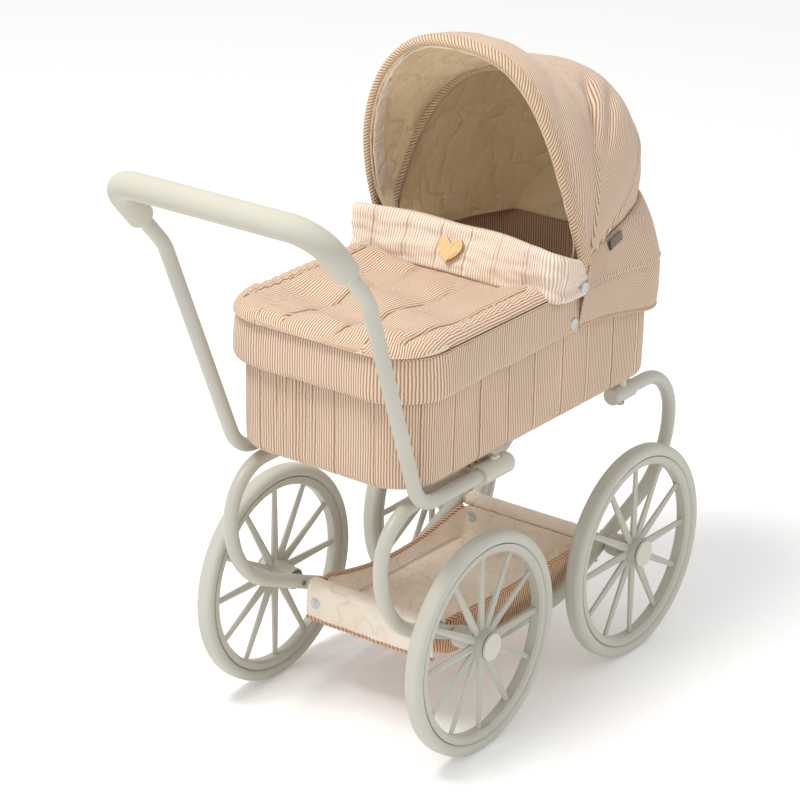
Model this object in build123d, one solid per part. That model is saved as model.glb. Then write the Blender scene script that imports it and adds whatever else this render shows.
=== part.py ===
from build123d import *
import os
from math import cos, sin, pi, radians

# Doll's pram: tube chassis on four spoked wheels, a fabric carrycot with an apron and a
# folding hood, a sling basket and a push handle.  Millimetres, +Z up, the handle towards -Y,
# the hood towards +Y, +X to the right of whoever pushes it.  All places below are measured from
# the middle of the wheelbase on the floor; save() shifts everything by y_shift, which puts the
# origin under the middle of the whole pram.

# ---- driving dimensions ----
tube_r = 7.0             # outer radius of every bent tube
tube_wall = 1.2
running = 0.05           # radial clearance of what turns or slides
gap = 0.3                # clearance of soft parts from their neighbours

wheel_r = 110.0
tyre_half = 8.8          # half the tyre's width
rim_seat_r = 98.0
rim_inner_r = 90.0
rim_half = 6.8
spoke_count = 12
half_track = 124.0       # wheel middle plane from the centre line
half_base = 130.0        # axle from the middle of the wheelbase
axle_r = 4.0
axle_z = wheel_r
axle_sleeve_r = 6.0

frame_x = 88.0           # side frames' plane
rail_top_z = 264.0       # top runs of the side frames
far_rear = 239.0         # rear and front reach of the side frames' middle line
far_front = 245.0
low_run = (52.0, 77.0)   # half length and height of the low level run between the axles
rail_slope = (axle_z - low_run[1]) / (half_base - low_run[0])

handle_x = 106.0         # handle tube where it enters the collars
handle_wide_x = 114.5    # handle tube at the grip
handle_run_z = 270.0
handle_end_y = -72.0
handle_knee = (-206.0, handle_run_z)
handle_elbow = (-296.0, 499.5)
handle_top = (-366.0, 578.0)
grip_r = 12.5

collar_r = 10.0
collar_y = (-114.0, -66.0)
button_y = -88.0
button_travel = 1.2
sleeve_r = 9.2
sleeve_y = (134.0, 169.0)
bolt_r = 2.5
bolt_places = [(side * frame_x, y) for side in (1, -1) for y in (-82.0, 152.0)]

cot_half = 106.0
cot_y = (-222.0, 192.0)
cot_corner = 45.0
cot_z = (283.0, 417.0)
cot_wall = 5.0
board_t = 4.0
ring_t = 3.0
ring_h = 10.0

pivot_y = 31.0
pivot_z = 430.0
pivot_r = 3.0
bow_r = 2.5

skirt_z = 373.0
apron_z = 429.0
apron_front_y = -14.0

rear_reach = -handle_top[0] + grip_r
front_reach = far_front + tube_r
y_shift = (rear_reach - front_reach) / 2


def save(name, shape):
    """Write one sub-part's STEP file, shifted into the pram's own frame."""
    export_step(Pos(0, y_shift, 0) * shape, "parts/" + name + ".step")


def group(shapes):
    """Several separate solids that share one node."""
    return Compound([solid for shape in shapes for solid in shape.solids()])


def rod(radius, start, end):
    """Round bar between two points."""
    line = Line(start, end)
    return sweep(Plane(origin=start, z_dir=line % 0) * Circle(radius), path=line)


def bent_tube(points, radii, outer, inner=0.0):
    """Tube along straight runs joined by tangent arcs."""
    path = FilletPolyline(*points, radius=radii)
    start = Plane(origin=path @ 0, z_dir=path % 0)
    tube = sweep(start * Circle(outer), path=path)
    if inner > 0:
        tube -= sweep(start * Circle(inner), path=path)
    return tube


def tub(half, y0, y1, corner, z0, z1):
    """Upright block with a rounded-rectangle plan."""
    plan = RectangleRounded(2 * half, y1 - y0, corner)
    return Pos(0, (y0 + y1) / 2, z0) * extrude(plan, z1 - z0)


def facing_x(side):
    """Turns local +Z to point outwards, to the right for side 1 and the left for side -1."""
    return Rot(0, 90 * side, 0)


# ---- chassis ----
def rail_z(y):
    """Height of a side frame's lower run, which climbs from a low middle through the axles."""
    return low_run[1] + rail_slope * max(0.0, abs(y) - low_run[0])


def side_frame(side):
    """One tube bent into a long C at each end, with bores for the axles and the cot bolts."""
    x = side * frame_x
    points = [
        (x, collar_y[1] - 6, rail_top_z),
        (x, -far_rear, rail_top_z),
        (x, -far_rear, rail_z(far_rear)),
        (x, -low_run[0], low_run[1]),
        (x, low_run[0], low_run[1]),
        (x, far_front, rail_z(far_front)),
        (x, far_front, rail_top_z),
        (x, sleeve_y[0] + 3, rail_top_z),
    ]
    tube = bent_tube(points, [50, 84, 70, 70, 81, 50], tube_r, tube_r - tube_wall)
    for y in (-half_base, half_base):
        tube -= rod(axle_r + 0.01, (x - 12, y, axle_z), (x + 12, y, axle_z))
    return tube - bolt_holes() - rail_screw_holes() - collar_screw_bores(side)


def bolt_holes():
    """Upright bores of the four bolts that hold the carrycot on the side frames."""
    return [rod(bolt_r + 0.02, (x, y, rail_top_z - 25), (x, y, cot_z[0] + 20)) for x, y in bolt_places]


def axle_rod(y):
    return rod(axle_r, (-half_track - 8, y, axle_z), (half_track + 8, y, axle_z))


def axle_sleeve(y):
    """Spacer tube over the axle, between the two side frames."""
    reach = frame_x - tube_r - 0.5
    outer = rod(axle_sleeve_r, (-reach, y, axle_z), (reach, y, axle_z))
    return outer - rod(axle_r + 0.01, (-reach - 1, y, axle_z), (reach + 1, y, axle_z))


def ring_on_axle(x0, x1, y, radius):
    return rod(radius, (x0, y, axle_z), (x1, y, axle_z)) - rod(
        axle_r + 0.01, (x0 - 5, y, axle_z), (x0 + 10, y, axle_z)
    )


def axle_corners():
    return [(side, y) for side in (1, -1) for y in (-half_base, half_base)]


def axle_washers():
    """Plain washers between each rail and hub."""
    start = frame_x + tube_r + 0.1
    thick = 1.5
    rings = []
    for side, y in axle_corners():
        low = start if side > 0 else -start - thick
        rings.append(ring_on_axle(low, low + thick, y, 8.0))
    return group(rings)


def axle_clips():
    """Push-on lock washers near the axle ends, inside the hubs."""
    start = half_track + 4.6
    thick = 1.2
    rings = []
    for side, y in axle_corners():
        low = start if side > 0 else -start - thick
        rings.append(ring_on_axle(low, low + thick, y, 7.0))
    return group(rings)


def screw(place, turn, head_r, head_h, shank_r, shank_l):
    """Cap screw, its head up along local +Z, the shank below, with a cross recess."""
    body = Pos(0, 0, head_h / 2) * Cylinder(head_r, head_h)
    body += Pos(0, 0, -shank_l / 2) * Cylinder(shank_r, shank_l)
    body = fillet(body.edges().sort_by(Axis.Z)[-1:], head_h * 0.3)
    for angle in (0, 90):
        body -= Pos(0, 0, head_h) * Rot(0, 0, angle) * Box(head_r * 1.1, head_r * 0.3, head_h * 0.8)
    return Pos(*place) * turn * body


axle_screw_r = 1.5


def axle_screws():
    """Small screws through the rails' inner faces into the axles' sides."""
    screws = []
    for side, y in axle_corners():
        toward = -1 if y < 0 else 1
        x = side * (frame_x - tube_r + 0.3)
        place = (x, y + toward * 9, rail_z(y + toward * 9))
        screws.append(screw(place, facing_x(-side), 2.6, 1.2, axle_screw_r, 3))
    return group(screws)


def rail_screw_holes():
    holes = []
    for side, y in axle_corners():
        toward = -1 if y < 0 else 1
        x = side * frame_x
        hole_y = y + toward * 9
        z = rail_z(hole_y)
        holes.append(rod(axle_screw_r + 0.02, (x - 12 * side, hole_y, z), (x, hole_y, z)))
        face = side * (frame_x - tube_r + 0.3)
        holes.append(rod(2.8, (face - 5 * side, hole_y, z), (face, hole_y, z)))
    return holes


def rear_collar(side):
    """Cast fitting: a socket for the handle tube joined to a clamp on the side frame's top run."""
    x_handle = side * handle_x
    x_frame = side * frame_x
    y0, y1 = collar_y
    socket = rod(collar_r, (x_handle, y0, handle_run_z), (x_handle, y1, handle_run_z))
    socket = fillet(socket.edges().sort_by(Axis.Y)[-1:], 4)
    clamp = rod(sleeve_r, (x_frame, y0 + 4, rail_top_z), (x_frame, y1, rail_top_z))
    clamp = fillet(clamp.edges().sort_by(Axis.Y)[-1:], 3)
    middle = ((x_handle + x_frame) / 2, (y0 + y1) / 2 + 2, rail_top_z + 2.5)
    web = Pos(*middle) * Box(14, y1 - y0 - 10, 8)
    body = socket + clamp + web
    body -= rod(tube_r + running, (x_handle, y0 - 1, handle_run_z), (x_handle, y1 - 4, handle_run_z))
    body -= rod(tube_r, (x_frame, y0 - 1, rail_top_z), (x_frame, y1 - 6, rail_top_z))
    body -= Pos(x_handle, button_y, handle_run_z + collar_r) * pill(12.6, 5.6, 12)
    return body - collar_screw_bores(side) - bolt_holes()


def pill(length, width, height):
    """Upright block with a slot-shaped plan, long along Y."""
    plan = SlotOverall(length, width, rotation=90)
    return Pos(0, 0, -height / 2) * extrude(plan, height)


collar_screw_places = [-106.0, -95.0]
collar_screw_z = rail_top_z + sleeve_r


def collar_screw_bores(side):
    x = side * frame_x
    bores = []
    for y in collar_screw_places:
        bores.append(rod(1.52, (x, y, rail_top_z + 4.6), (x, y, collar_screw_z + 4)))
        bores.append(rod(3.0, (x, y, collar_screw_z - 0.8), (x, y, collar_screw_z + 6)))
    return bores


def collar_screws():
    """Screws down through each rear collar into the side frame tube."""
    up = Rot(0, 0, 0)
    top = collar_screw_z - 0.8
    screws = []
    for side in (1, -1):
        for y in collar_screw_places:
            screws.append(screw((side * frame_x, y, top), up, 2.8, 1.6, 1.5, 3.5))
    return group(screws)


def lock_button(side):
    """Push button on the collar that frees the handle tube."""
    bottom = handle_run_z + tube_r + button_travel + 0.1
    top = handle_run_z + collar_r + 1.7
    body = Pos(0, 0, (top - bottom) / 2) * pill(12.0, 5.0, top - bottom)
    body = fillet(body.edges().group_by(Axis.Z)[-1], 0.8)
    return Pos(side * handle_x, button_y, bottom) * body


def front_sleeve(side):
    """Thick sleeve with a closed round end over the end of the front top run."""
    x = side * frame_x
    y0, y1 = sleeve_y
    body = rod(sleeve_r, (x, y0, rail_top_z), (x, y1, rail_top_z))
    body = fillet(body.edges().sort_by(Axis.Y)[:1], 3)
    body -= rod(tube_r, (x, y0 + 3, rail_top_z), (x, y1 + 1, rail_top_z))
    return body - bolt_holes()


def cot_pegs():
    """Spacers between the fittings and the floor of the carrycot."""
    pegs = []
    for x, y in bolt_places:
        peg = rod(5.5, (x, y, rail_top_z + 5), (x, y, cot_z[0] - 0.02))
        saddle = rod(sleeve_r, (x, y - 12, rail_top_z), (x, y + 12, rail_top_z))
        peg -= saddle
        pegs.append(peg - rod(bolt_r + 0.02, (x, y, rail_top_z), (x, y, cot_z[0] + 5)))
    return group(pegs)


def cot_bolts():
    """Bolts up through the fittings, the pegs and the carrycot's floor board."""
    bolts = []
    head_top = rail_top_z - sleeve_r
    for x, y in bolt_places:
        shank = rod(bolt_r, (x, y, head_top - 1), (x, y, cot_z[0] + board_t + 1))
        head = rod(4.5, (x, y, head_top - 3), (x, y, head_top))
        flat = rod(sleeve_r, (x, y - 9, rail_top_z), (x, y + 9, rail_top_z))
        bolts.append(head - flat + shank)
    return group(bolts)


# ---- basket ----
basket_half = 80.0
basket_y = (-122.0, 122.0)
basket_z = (72.0, 112.0)
hem_half = 76.0          # half length of the sleeves over the axles
hem_r = axle_sleeve_r + gap
hem_back = 138.8         # outer face of the turned-over hem
hem_low = 80.0
basket_snap_x = 65.0
basket_snap_z = 97.0


def basket():
    """Shallow fabric sling with a hem at each end that is turned over the axle sleeve."""
    y0, y1 = basket_y
    outer = tub(basket_half, y0, y1, 9, *basket_z)
    outer = fillet(outer.edges().group_by(Axis.Z)[0], 8)
    inner = tub(basket_half - 3, y0 + 3, y1 - 3, 6, basket_z[0] + 3, basket_z[1] + 5)
    inner = fillet(inner.edges().group_by(Axis.Z)[0], 5)
    body = outer - inner
    for end in (-1, 1):
        y = end * half_base
        body += rod(hem_r + 2.3, (-hem_half, y, axle_z), (hem_half, y, axle_z))
        height = axle_z - hem_low
        body += Pos(0, end * (hem_back - 1), hem_low + height / 2) * Box(2 * hem_half, 2, height)
    for end in (-1, 1):
        y = end * half_base
        body -= rod(hem_r, (-hem_half - 9, y, axle_z), (hem_half + 9, y, axle_z))
    return body


def basket_snaps():
    """Press studs through the hems, two on the rear hem's back and two inside the front one."""
    studs = []
    for side in (1, -1):
        for face_y in (-hem_back - 0.05, basket_y[1] - 3.05):
            stud = Rot(90, 0, 0) * snap_button(5.5, 2.4)
            studs.append(Pos(side * basket_snap_x, face_y, basket_snap_z) * stud)
    return group(studs)


def snap_button(radius, height):
    """Round press stud with a dished face, standing up along +Z."""
    body = Pos(0, 0, height / 2) * Cylinder(radius, height)
    body = fillet(body.edges().group_by(Axis.Z)[-1], height * 0.4)
    return body - Pos(0, 0, height + radius * 1.6) * Sphere(radius * 1.75)


# ---- wheels, built with the axle along Z and the outer side up, then turned ----
def wheel_body():
    """One-piece wheel: rim, tapered ridged spokes and a long hub."""
    rim = Cylinder(rim_seat_r, 2 * rim_half) - Cylinder(rim_inner_r, 2 * rim_half + 2)
    rim = chamfer(rim.edges().filter_by(GeomType.CIRCLE).filter_by(lambda e: e.radius < 94), 2.2)
    hub = Pos(0, 0, -13.5) * Cone(10.5, 14.0, 26) + Pos(0, 0, 5) * Cylinder(14.0, 12)
    wheel = rim + hub
    for index in range(spoke_count):
        wheel += Rot(0, 0, index * 360 / spoke_count) * spoke()
    wheel -= Pos(0, 0, -11) * Cylinder(6.0, 40)
    wheel -= Pos(0, 0, 8.0) * Cylinder(9.0, 8.0)
    wheel -= Pos(0, 0, -25) * Cylinder(8.8, 5.0)
    return wheel


def spoke():
    """Straight spoke with a ridge along it, wide at the hub and narrow at the rim."""
    start = Plane(origin=(11, 0, 0), z_dir=(1, 0, 0)) * ridge_section(4.2, 3.6)
    end = Plane(origin=(rim_inner_r + 2, 0, 0), z_dir=(1, 0, 0)) * ridge_section(2.6, 2.6)
    return loft([start, end])


def ridge_section(half_wide, half_thick):
    """Six-sided section, its ridges on the wheel's two faces."""
    side = half_thick * 0.4
    points = [
        (0, half_thick),
        (half_wide, side),
        (half_wide, -side),
        (0, -half_thick),
        (-half_wide, -side),
        (-half_wide, side),
    ]
    return Rot(0, 0, 90) * make_face(Polyline(*points, close=True))


def tyre():
    """Soft tyre with a round tread, stretched over the rim's seat."""
    thick = wheel_r - rim_seat_r
    section = Pos(rim_seat_r + thick / 2, 0) * RectangleRounded(thick, 2 * tyre_half, 5.5)
    return revolve(Plane.XZ * section, axis=Axis.Z)


def hub_bush():
    """Plastic sleeve bearing pressed into the hub."""
    return Pos(0, 0, -9.25) * (Cylinder(6.0, 26.5) - Cylinder(axle_r + running, 30))


def hub_cap():
    """Flat round cap with a short neck that plugs the hub's outer end."""
    disc = Pos(0, 0, 13.6) * Cylinder(13.4, 2.4)
    disc = fillet(disc.edges().group_by(Axis.Z)[-1], 0.8)
    neck = Pos(0, 0, 11.2) * (Cylinder(9.0, 3.0) - Cylinder(7.4, 3.0))
    return disc + neck


def place_wheel_part(shape, side, y):
    return Pos(side * half_track, y, axle_z) * facing_x(side) * shape


# ---- push handle ----
def handle_points():
    """Corners of the right half of the handle tube, then of the left half."""
    right = [
        (handle_x, handle_end_y, handle_run_z),
        (handle_x, handle_knee[0], handle_knee[1]),
        (handle_wide_x, handle_elbow[0], handle_elbow[1]),
        (handle_wide_x, handle_top[0], handle_top[1]),
    ]
    left = [(-x, y, z) for x, y, z in reversed(right)]
    return right + left


handle_bends = [36.0, 48.0, 30.0, 30.0, 48.0, 36.0]


def handle_tube():
    return bent_tube(handle_points(), handle_bends, tube_r, tube_r - tube_wall)


def handle_grip():
    """Foam sleeve over the cross bar and the upper ends of both legs."""
    elbow_y, elbow_z = handle_elbow
    top_y, top_z = handle_top
    along = 0.42
    y = elbow_y + (top_y - elbow_y) * along
    z = elbow_z + (top_z - elbow_z) * along
    points = [
        (handle_wide_x, y, z),
        (handle_wide_x, top_y, top_z),
        (-handle_wide_x, top_y, top_z),
        (-handle_wide_x, y, z),
    ]
    grip = bent_tube(points, [30.0, 30.0], grip_r)
    grip = fillet(grip.edges().filter_by(GeomType.CIRCLE).filter_by(lambda e: abs(e.radius - grip_r) < 0.1), 3)
    return grip - bent_tube(points, [30.0, 30.0], tube_r + 0.02)


# ---- carrycot ----
def cot_shell():
    """Open-topped tub of padded fabric, sewn to a fabric floor."""
    y0, y1 = cot_y
    outer = tub(cot_half, y0, y1, cot_corner, *cot_z)
    inner = tub(
        cot_half - cot_wall, y0 + cot_wall, y1 - cot_wall, cot_corner - cot_wall, cot_z[0] + 1.5, cot_z[1] + 5
    )
    return outer - inner - bolt_holes()


def floor_board():
    """Stiff board on the tub's floor."""
    inset = cot_wall + gap
    board = tub(
        cot_half - inset, cot_y[0] + inset, cot_y[1] - inset, cot_corner - inset, cot_z[0] + 1.5,
        cot_z[0] + 1.5 + board_t,
    )
    return board - bolt_holes()


def mattress():
    inset = cot_wall + 4
    low = cot_z[0] + 2 + board_t + gap
    pad = tub(cot_half - inset, cot_y[0] + inset, cot_y[1] - inset, cot_corner - inset, low, low + 22)
    return fillet(pad.edges().group_by(Axis.Z)[-1], 8) - bolt_holes()


def cot_lining():
    """Thin inner lining that hangs from the stiffening ring."""
    inset = cot_wall + 0.1
    low = cot_z[0] + 2 + board_t
    high = cot_z[1] - ring_h - 1
    outer = tub(cot_half - inset, cot_y[0] + inset, cot_y[1] - inset, cot_corner - inset, low, high)
    inset += 1.5
    inner = tub(cot_half - inset, cot_y[0] + inset, cot_y[1] - inset, cot_corner - inset, low - 1, high + 1)
    return outer - inner


def cot_ring():
    """Stiff ring inside the top of the tub; the hood's hinge plates stand on it."""
    inset = cot_wall
    low = cot_z[1] - ring_h
    outer = tub(cot_half - inset, cot_y[0] + inset, cot_y[1] - inset, cot_corner - inset, low, cot_z[1])
    inset += ring_t
    inner = tub(
        cot_half - inset, cot_y[0] + inset, cot_y[1] - inset, cot_corner - inset, low - 1, cot_z[1] + 1
    )
    return outer - inner


hinge_in_x = cot_half - cot_wall - ring_t    # inner face of the ring and hinge plates
hinge_out_x = cot_half - cot_wall


def hinge_plate(side):
    """Upright plate inside the tub's wall, with the pin that both hood bows turn on."""
    thick = hinge_out_x - hinge_in_x
    plate = Pos(0, 0, (pivot_z + cot_z[1]) / 2) * Box(thick, 15, pivot_z - cot_z[1])
    plate += Pos(0, 0, pivot_z) * Rot(0, 90, 0) * Cylinder(7.5, thick)
    plate = Pos(side * (hinge_in_x + thick / 2), pivot_y, 0) * plate
    plate &= Pos(0, pivot_y, cot_z[1] + 50) * Box(400, 60, 100)
    pin = rod(
        pivot_r, (side * (hinge_out_x - 1), pivot_y, pivot_z), (side * (hinge_out_x + 10), pivot_y, pivot_z)
    )
    head = rod(
        6.5, (side * (hinge_out_x + 9.8), pivot_y, pivot_z), (side * (hinge_out_x + 11.2), pivot_y, pivot_z)
    )
    return plate + pin + head


def apron():
    """Padded cover over the foot end, with a skirt that hangs down outside the tub."""
    over = cot_half + 8.5
    rear = cot_y[0] - 14
    plan_corner = cot_corner + 9
    outer = tub(over, rear, cot_y[1], plan_corner, skirt_z, apron_z)
    outer = fillet(outer.edges().group_by(Axis.Z)[-1], 12)
    hollow = tub(
        cot_half + gap, cot_y[0] - gap, cot_y[1] + 60, cot_corner, skirt_z - 5, cot_z[1] + gap
    )
    front = Pos(0, apron_front_y + 150, 400) * Box(400, 300, 200)
    body = outer - hollow - front
    return body


def apron_skirt(side):
    """Side tail of the skirt that runs on forward to the lower press stud."""
    y0 = apron_front_y + gap
    y1 = pivot_y + 8
    inner = side * (cot_half + gap)
    tail = Pos(inner + side * 2.5, (y0 + y1) / 2, (skirt_z + 412) / 2) * Box(5, y1 - y0, 412 - skirt_z)
    return fillet(tail.edges().filter_by(Axis.X).sort_by(Axis.Y)[-2:], 8)


def apron_flap():
    """Turned-up front edge of the apron, a low curved screen across the tub."""
    half = 108.0
    bulge = 16.0
    low, high = apron_z + gap, 466.0
    y_end = apron_front_y + 8
    front = ThreePointArc((-half, y_end - 10), (0, y_end - 10 - bulge), (half, y_end - 10))
    back = ThreePointArc((half, y_end - 4), (0, y_end - 4 - bulge), (-half, y_end - 4))
    edges = front + Line((half, y_end - 10), (half, y_end - 4)) + back
    edges += Line((-half, y_end - 4), (-half, y_end - 10))
    return Pos(0, 0, low) * extrude(make_face(edges), high - low)


def heart_badge():
    """Small blank wooden heart sewn on the flap."""
    size = 9.0
    lobe = 5.6
    tip = Polyline(
        (0, -size * 1.05), (size * 1.06, size * 0.12), (0, size * 0.55), (-size * 1.06, size * 0.12), close=True
    )
    flat = make_face(tip)
    for side in (1, -1):
        flat += Pos(side * size * 0.5, size * 0.42) * Circle(lobe)
    plate = extrude(flat, 2.4)
    y = apron_front_y + 8 - 10 - 16.0
    return Pos(0, y - 0.1, (apron_z + 466.0) / 2) * Rot(90, 0, 0) * plate


def cover_snaps():
    """Press studs that hold the apron's skirt and flap to the tub's sides."""
    studs = []
    for side in (1, -1):
        low = facing_x(side) * snap_button(5.5, 2.4)
        studs.append(Pos(side * (cot_half + gap + 5.05), pivot_y - 4, 386) * low)
    return group(studs)


# ---- hood ----
hood_power = 2.5
panel_t = 2.5


def arch_points(half, height, count, base=0.0):
    """Points of an arch, from the right foot over the top to the left foot."""
    points = []
    for index in range(count + 1):
        turn = pi * index / count
        across = abs(cos(turn)) ** (2 / hood_power)
        up = abs(sin(turn)) ** (2 / hood_power)
        sign = 1 if cos(turn) >= 0 else -1
        points.append((sign * half * across, base + (height - base) * up))
    return points


def tilted(angle):
    """Plane through the hood's pivot axis, its local Y leaning towards +Y by the angle."""
    lean = radians(angle)
    return Plane(
        origin=(0, pivot_y, pivot_z), x_dir=(1, 0, 0), z_dir=(0, -cos(lean), sin(lean))
    )


def arch_face(angle, half, height, base):
    """Closed arch-shaped face standing at an angle about the pivot axis."""
    points = arch_points(half, height, 16, base)
    outline = Spline(*points) + Line(points[-1], points[0])
    return tilted(angle) * make_face(outline)


def bow(angle, half, height, foot_x):
    """Wire bow with a flattened eye at each foot, leaning at an angle about the pivot axis."""
    top = height - bow_r
    wide = half - bow_r
    shoulder = 0.516
    right = [(foot_x, 0), (foot_x, 12), (wide, 34), (wide, top * shoulder), (wide * shoulder, top)]
    left = [(-x, up) for x, up in reversed(right)]
    bends = [8, 12, 110, 85]
    path = FilletPolyline(*right, *left, radius=bends + bends[::-1])
    wire = sweep(Plane(origin=path @ 0, z_dir=path % 0) * Circle(bow_r), path=path)
    body = tilted(angle) * wire
    for side in (1, -1):
        inner, outer = sorted((side * (foot_x - eye_half), side * (foot_x + eye_half)))
        eye = rod(7.0, (inner, pivot_y, pivot_z), (outer, pivot_y, pivot_z))
        room = rod(8.5, (inner - 4, pivot_y, pivot_z), (outer + 4, pivot_y, pivot_z))
        body = body - room + eye
        body += tilted(angle) * Pos(side * foot_x, 9) * Box(2 * eye_half, 7, 4)
    for side in (1, -1):
        body -= rod(
            pivot_r + running, (side * (foot_x - 8), pivot_y, pivot_z), (side * (foot_x + 8), pivot_y, pivot_z)
        )
    return body


eye_half = 1.6
mid_foot_x = hinge_out_x + 2.2
front_foot_x = mid_foot_x + 5.8
front_angle, front_half, front_height = -12.0, 118.0, 216.0
mid_angle, mid_half, mid_height = 20.0, 112.0, 175.0
wrap_top_z = 446.0
back_sections = [(23.0, 120.0, 186.0), (50.0, 118.0, 214.0), (68.0, 114.0, 208.0), (80.0, 110.0, 200.0)]
front_sections = [(-9.0, 122.5, 221.0), (2.0, 121.5, 203.0), (20.0, 120.5, 186.0)]


def hood_panel(sections):
    """Curved fabric shell lofted over arches that turn about the pivot axis, open at both ends."""
    first, last = sections[0][0], sections[-1][0]
    outer_faces = []
    inner_faces = []
    for angle, half, height in sections:
        base = (wrap_top_z + 2 - pivot_z) / cos(radians(angle))
        extra = -0.8 if angle == first else 0.8 if angle == last else 0.0
        outer_faces.append(arch_face(angle, half, height, base))
        inner_faces.append(arch_face(angle + extra, half - panel_t, height - panel_t, base - 8))
    return loft(outer_faces) - loft(inner_faces)


def hood_wrap():
    """Band of fabric round the head end, outside the tub and up to the hood's back."""
    out = 8.0
    low, high = 372.0, wrap_top_z
    y0 = pivot_y + 14
    outer = tub(cot_half + out, cot_y[0], cot_y[1] + out + 18, cot_corner + out, low, high)
    inner = tub(cot_half + out - 4, cot_y[0], cot_y[1] + out + 14, cot_corner + out - 4, low - 1, high + 1)
    keep = Pos(0, y0 + 250, 400) * Box(400, 500, 200)
    return (outer - inner) & keep


def label_tag():
    """Small folded cloth label on the wrap's right side."""
    return Pos(cot_half + 8 + 0.9, 92, 426) * Box(1.6, 12, 22)


def build():
    os.makedirs("parts", exist_ok=True)
    ends = (("rear", -half_base), ("front", half_base))
    sides = (("right", 1), ("left", -1))
    for side_name, side in sides:
        save("side_frame_" + side_name, side_frame(side))
        save("rear_collar_" + side_name, rear_collar(side))
        save("front_sleeve_" + side_name, front_sleeve(side))
        save("lock_button_" + side_name, lock_button(side))
        save("hinge_plate_" + side_name, hinge_plate(side))
    for end_name, y in ends:
        save("axle_rod_" + end_name, axle_rod(y))
        save("axle_sleeve_" + end_name, axle_sleeve(y))
        for side_name, side in sides:
            corner = "_" + end_name + "_" + side_name
            save("wheel" + corner, place_wheel_part(wheel_body(), side, y))
            save("tyre" + corner, place_wheel_part(tyre(), side, y))
            save("hub_bush" + corner, place_wheel_part(hub_bush(), side, y))
            save("hub_cap" + corner, place_wheel_part(hub_cap(), side, y))
    save("axle_washers", axle_washers())
    save("axle_clips", axle_clips())
    save("axle_screws", axle_screws())
    save("collar_screws", collar_screws())
    save("cot_pegs", cot_pegs())
    save("cot_bolts", cot_bolts())
    save("basket", basket())
    save("basket_snaps", basket_snaps())
    save("handle_tube", handle_tube())
    save("handle_grip", handle_grip())
    save("cot_shell", cot_shell())
    save("floor_board", floor_board())
    save("mattress", mattress())
    save("cot_lining", cot_lining())
    save("cot_ring", cot_ring())
    save("apron", apron())
    save("apron_tails", group([apron_skirt(1), apron_skirt(-1)]))
    save("apron_flap", apron_flap())
    save("heart_badge", heart_badge())
    save("cover_snaps", cover_snaps())
    save("hood_front_bow", bow(front_angle, front_half, front_height, front_foot_x))
    save("hood_mid_bow", bow(mid_angle, mid_half, mid_height, mid_foot_x))
    save("hood_front_panel", hood_panel(front_sections))
    save("hood_back_panel", hood_panel(back_sections))
    save("hood_wrap", hood_wrap())
    save("label_tag", label_tag())


build()
print("y shift", y_shift)
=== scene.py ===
# %% [markdown]
# # A doll's pram, dressed in Blender
# The tubes, wheels, handle and fittings come finished from the design program, so they only get
# their finishes here. Everything sewn is made in this file: the carrycot's padded walls, the
# mattress, the quilted apron with its skirt and turned-up flap, the folding hood with its lining,
# the band round the head end and the sling basket.

# %% Load the frame
import math

import bmesh
import bpy
import numpy as np
from mathutils import Matrix, Vector


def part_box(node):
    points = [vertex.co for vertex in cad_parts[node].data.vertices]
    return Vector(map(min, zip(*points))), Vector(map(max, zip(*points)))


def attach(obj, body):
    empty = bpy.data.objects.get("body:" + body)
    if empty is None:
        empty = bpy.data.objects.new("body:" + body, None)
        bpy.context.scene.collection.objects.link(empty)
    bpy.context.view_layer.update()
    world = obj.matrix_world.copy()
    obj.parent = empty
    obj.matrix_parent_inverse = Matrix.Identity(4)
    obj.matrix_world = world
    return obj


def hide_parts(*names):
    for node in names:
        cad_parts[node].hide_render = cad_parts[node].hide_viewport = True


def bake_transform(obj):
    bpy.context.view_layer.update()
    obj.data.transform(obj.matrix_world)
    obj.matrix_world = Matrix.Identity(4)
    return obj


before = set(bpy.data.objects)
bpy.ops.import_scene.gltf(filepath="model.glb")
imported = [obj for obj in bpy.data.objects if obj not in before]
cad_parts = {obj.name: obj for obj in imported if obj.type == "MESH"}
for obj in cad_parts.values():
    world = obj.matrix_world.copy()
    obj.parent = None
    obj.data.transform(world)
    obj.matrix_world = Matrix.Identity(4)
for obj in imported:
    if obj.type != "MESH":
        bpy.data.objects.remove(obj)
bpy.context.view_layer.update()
bpy.ops.object.select_all(action="DESELECT")
bpy.context.scene.view_settings.view_transform = "Standard"

# %% [markdown]
# ## The camera
# The pram is seen from its right and from the handle's end, from a little above, with a long lens,
# so the four wheels keep nearly the same size. The camera is aimed at a point inside the carrycot.
# Its axes are worked out from two angles and a small roll, which is easier to check than a rotation
# typed in by hand.

# %% Camera
rear_low, rear_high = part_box("axle_rod_rear")
front_low, front_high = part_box("axle_rod_front")
middle_y = (rear_low.y + rear_high.y + front_low.y + front_high.y) / 4
aim = Vector((0, middle_y - 0.0946, 0.3127))
camera_distance = 3.007
azimuth, elevation, roll = (math.radians(a) for a in (36.705, 22.535, 0.734))

back = Vector(
    (
        math.sin(azimuth) * math.cos(elevation),
        -math.cos(azimuth) * math.cos(elevation),
        math.sin(elevation),
    )
)
level = Vector((math.cos(azimuth), math.sin(azimuth), 0))
upright = back.cross(level)
right = level * math.cos(roll) + upright * math.sin(roll)
up = upright * math.cos(roll) - level * math.sin(roll)

lens = bpy.data.cameras.new("main_camera")
lens.lens = 143.64
lens.sensor_width = 36
camera = bpy.data.objects.new("main_camera", lens)
bpy.context.scene.collection.objects.link(camera)
turned = Matrix((right, up, back)).transposed().to_4x4()
camera.matrix_world = Matrix.Translation(aim + back * camera_distance) @ turned
bpy.context.scene.camera = camera
print("camera at", tuple(round(v, 3) for v in camera.location))

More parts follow.
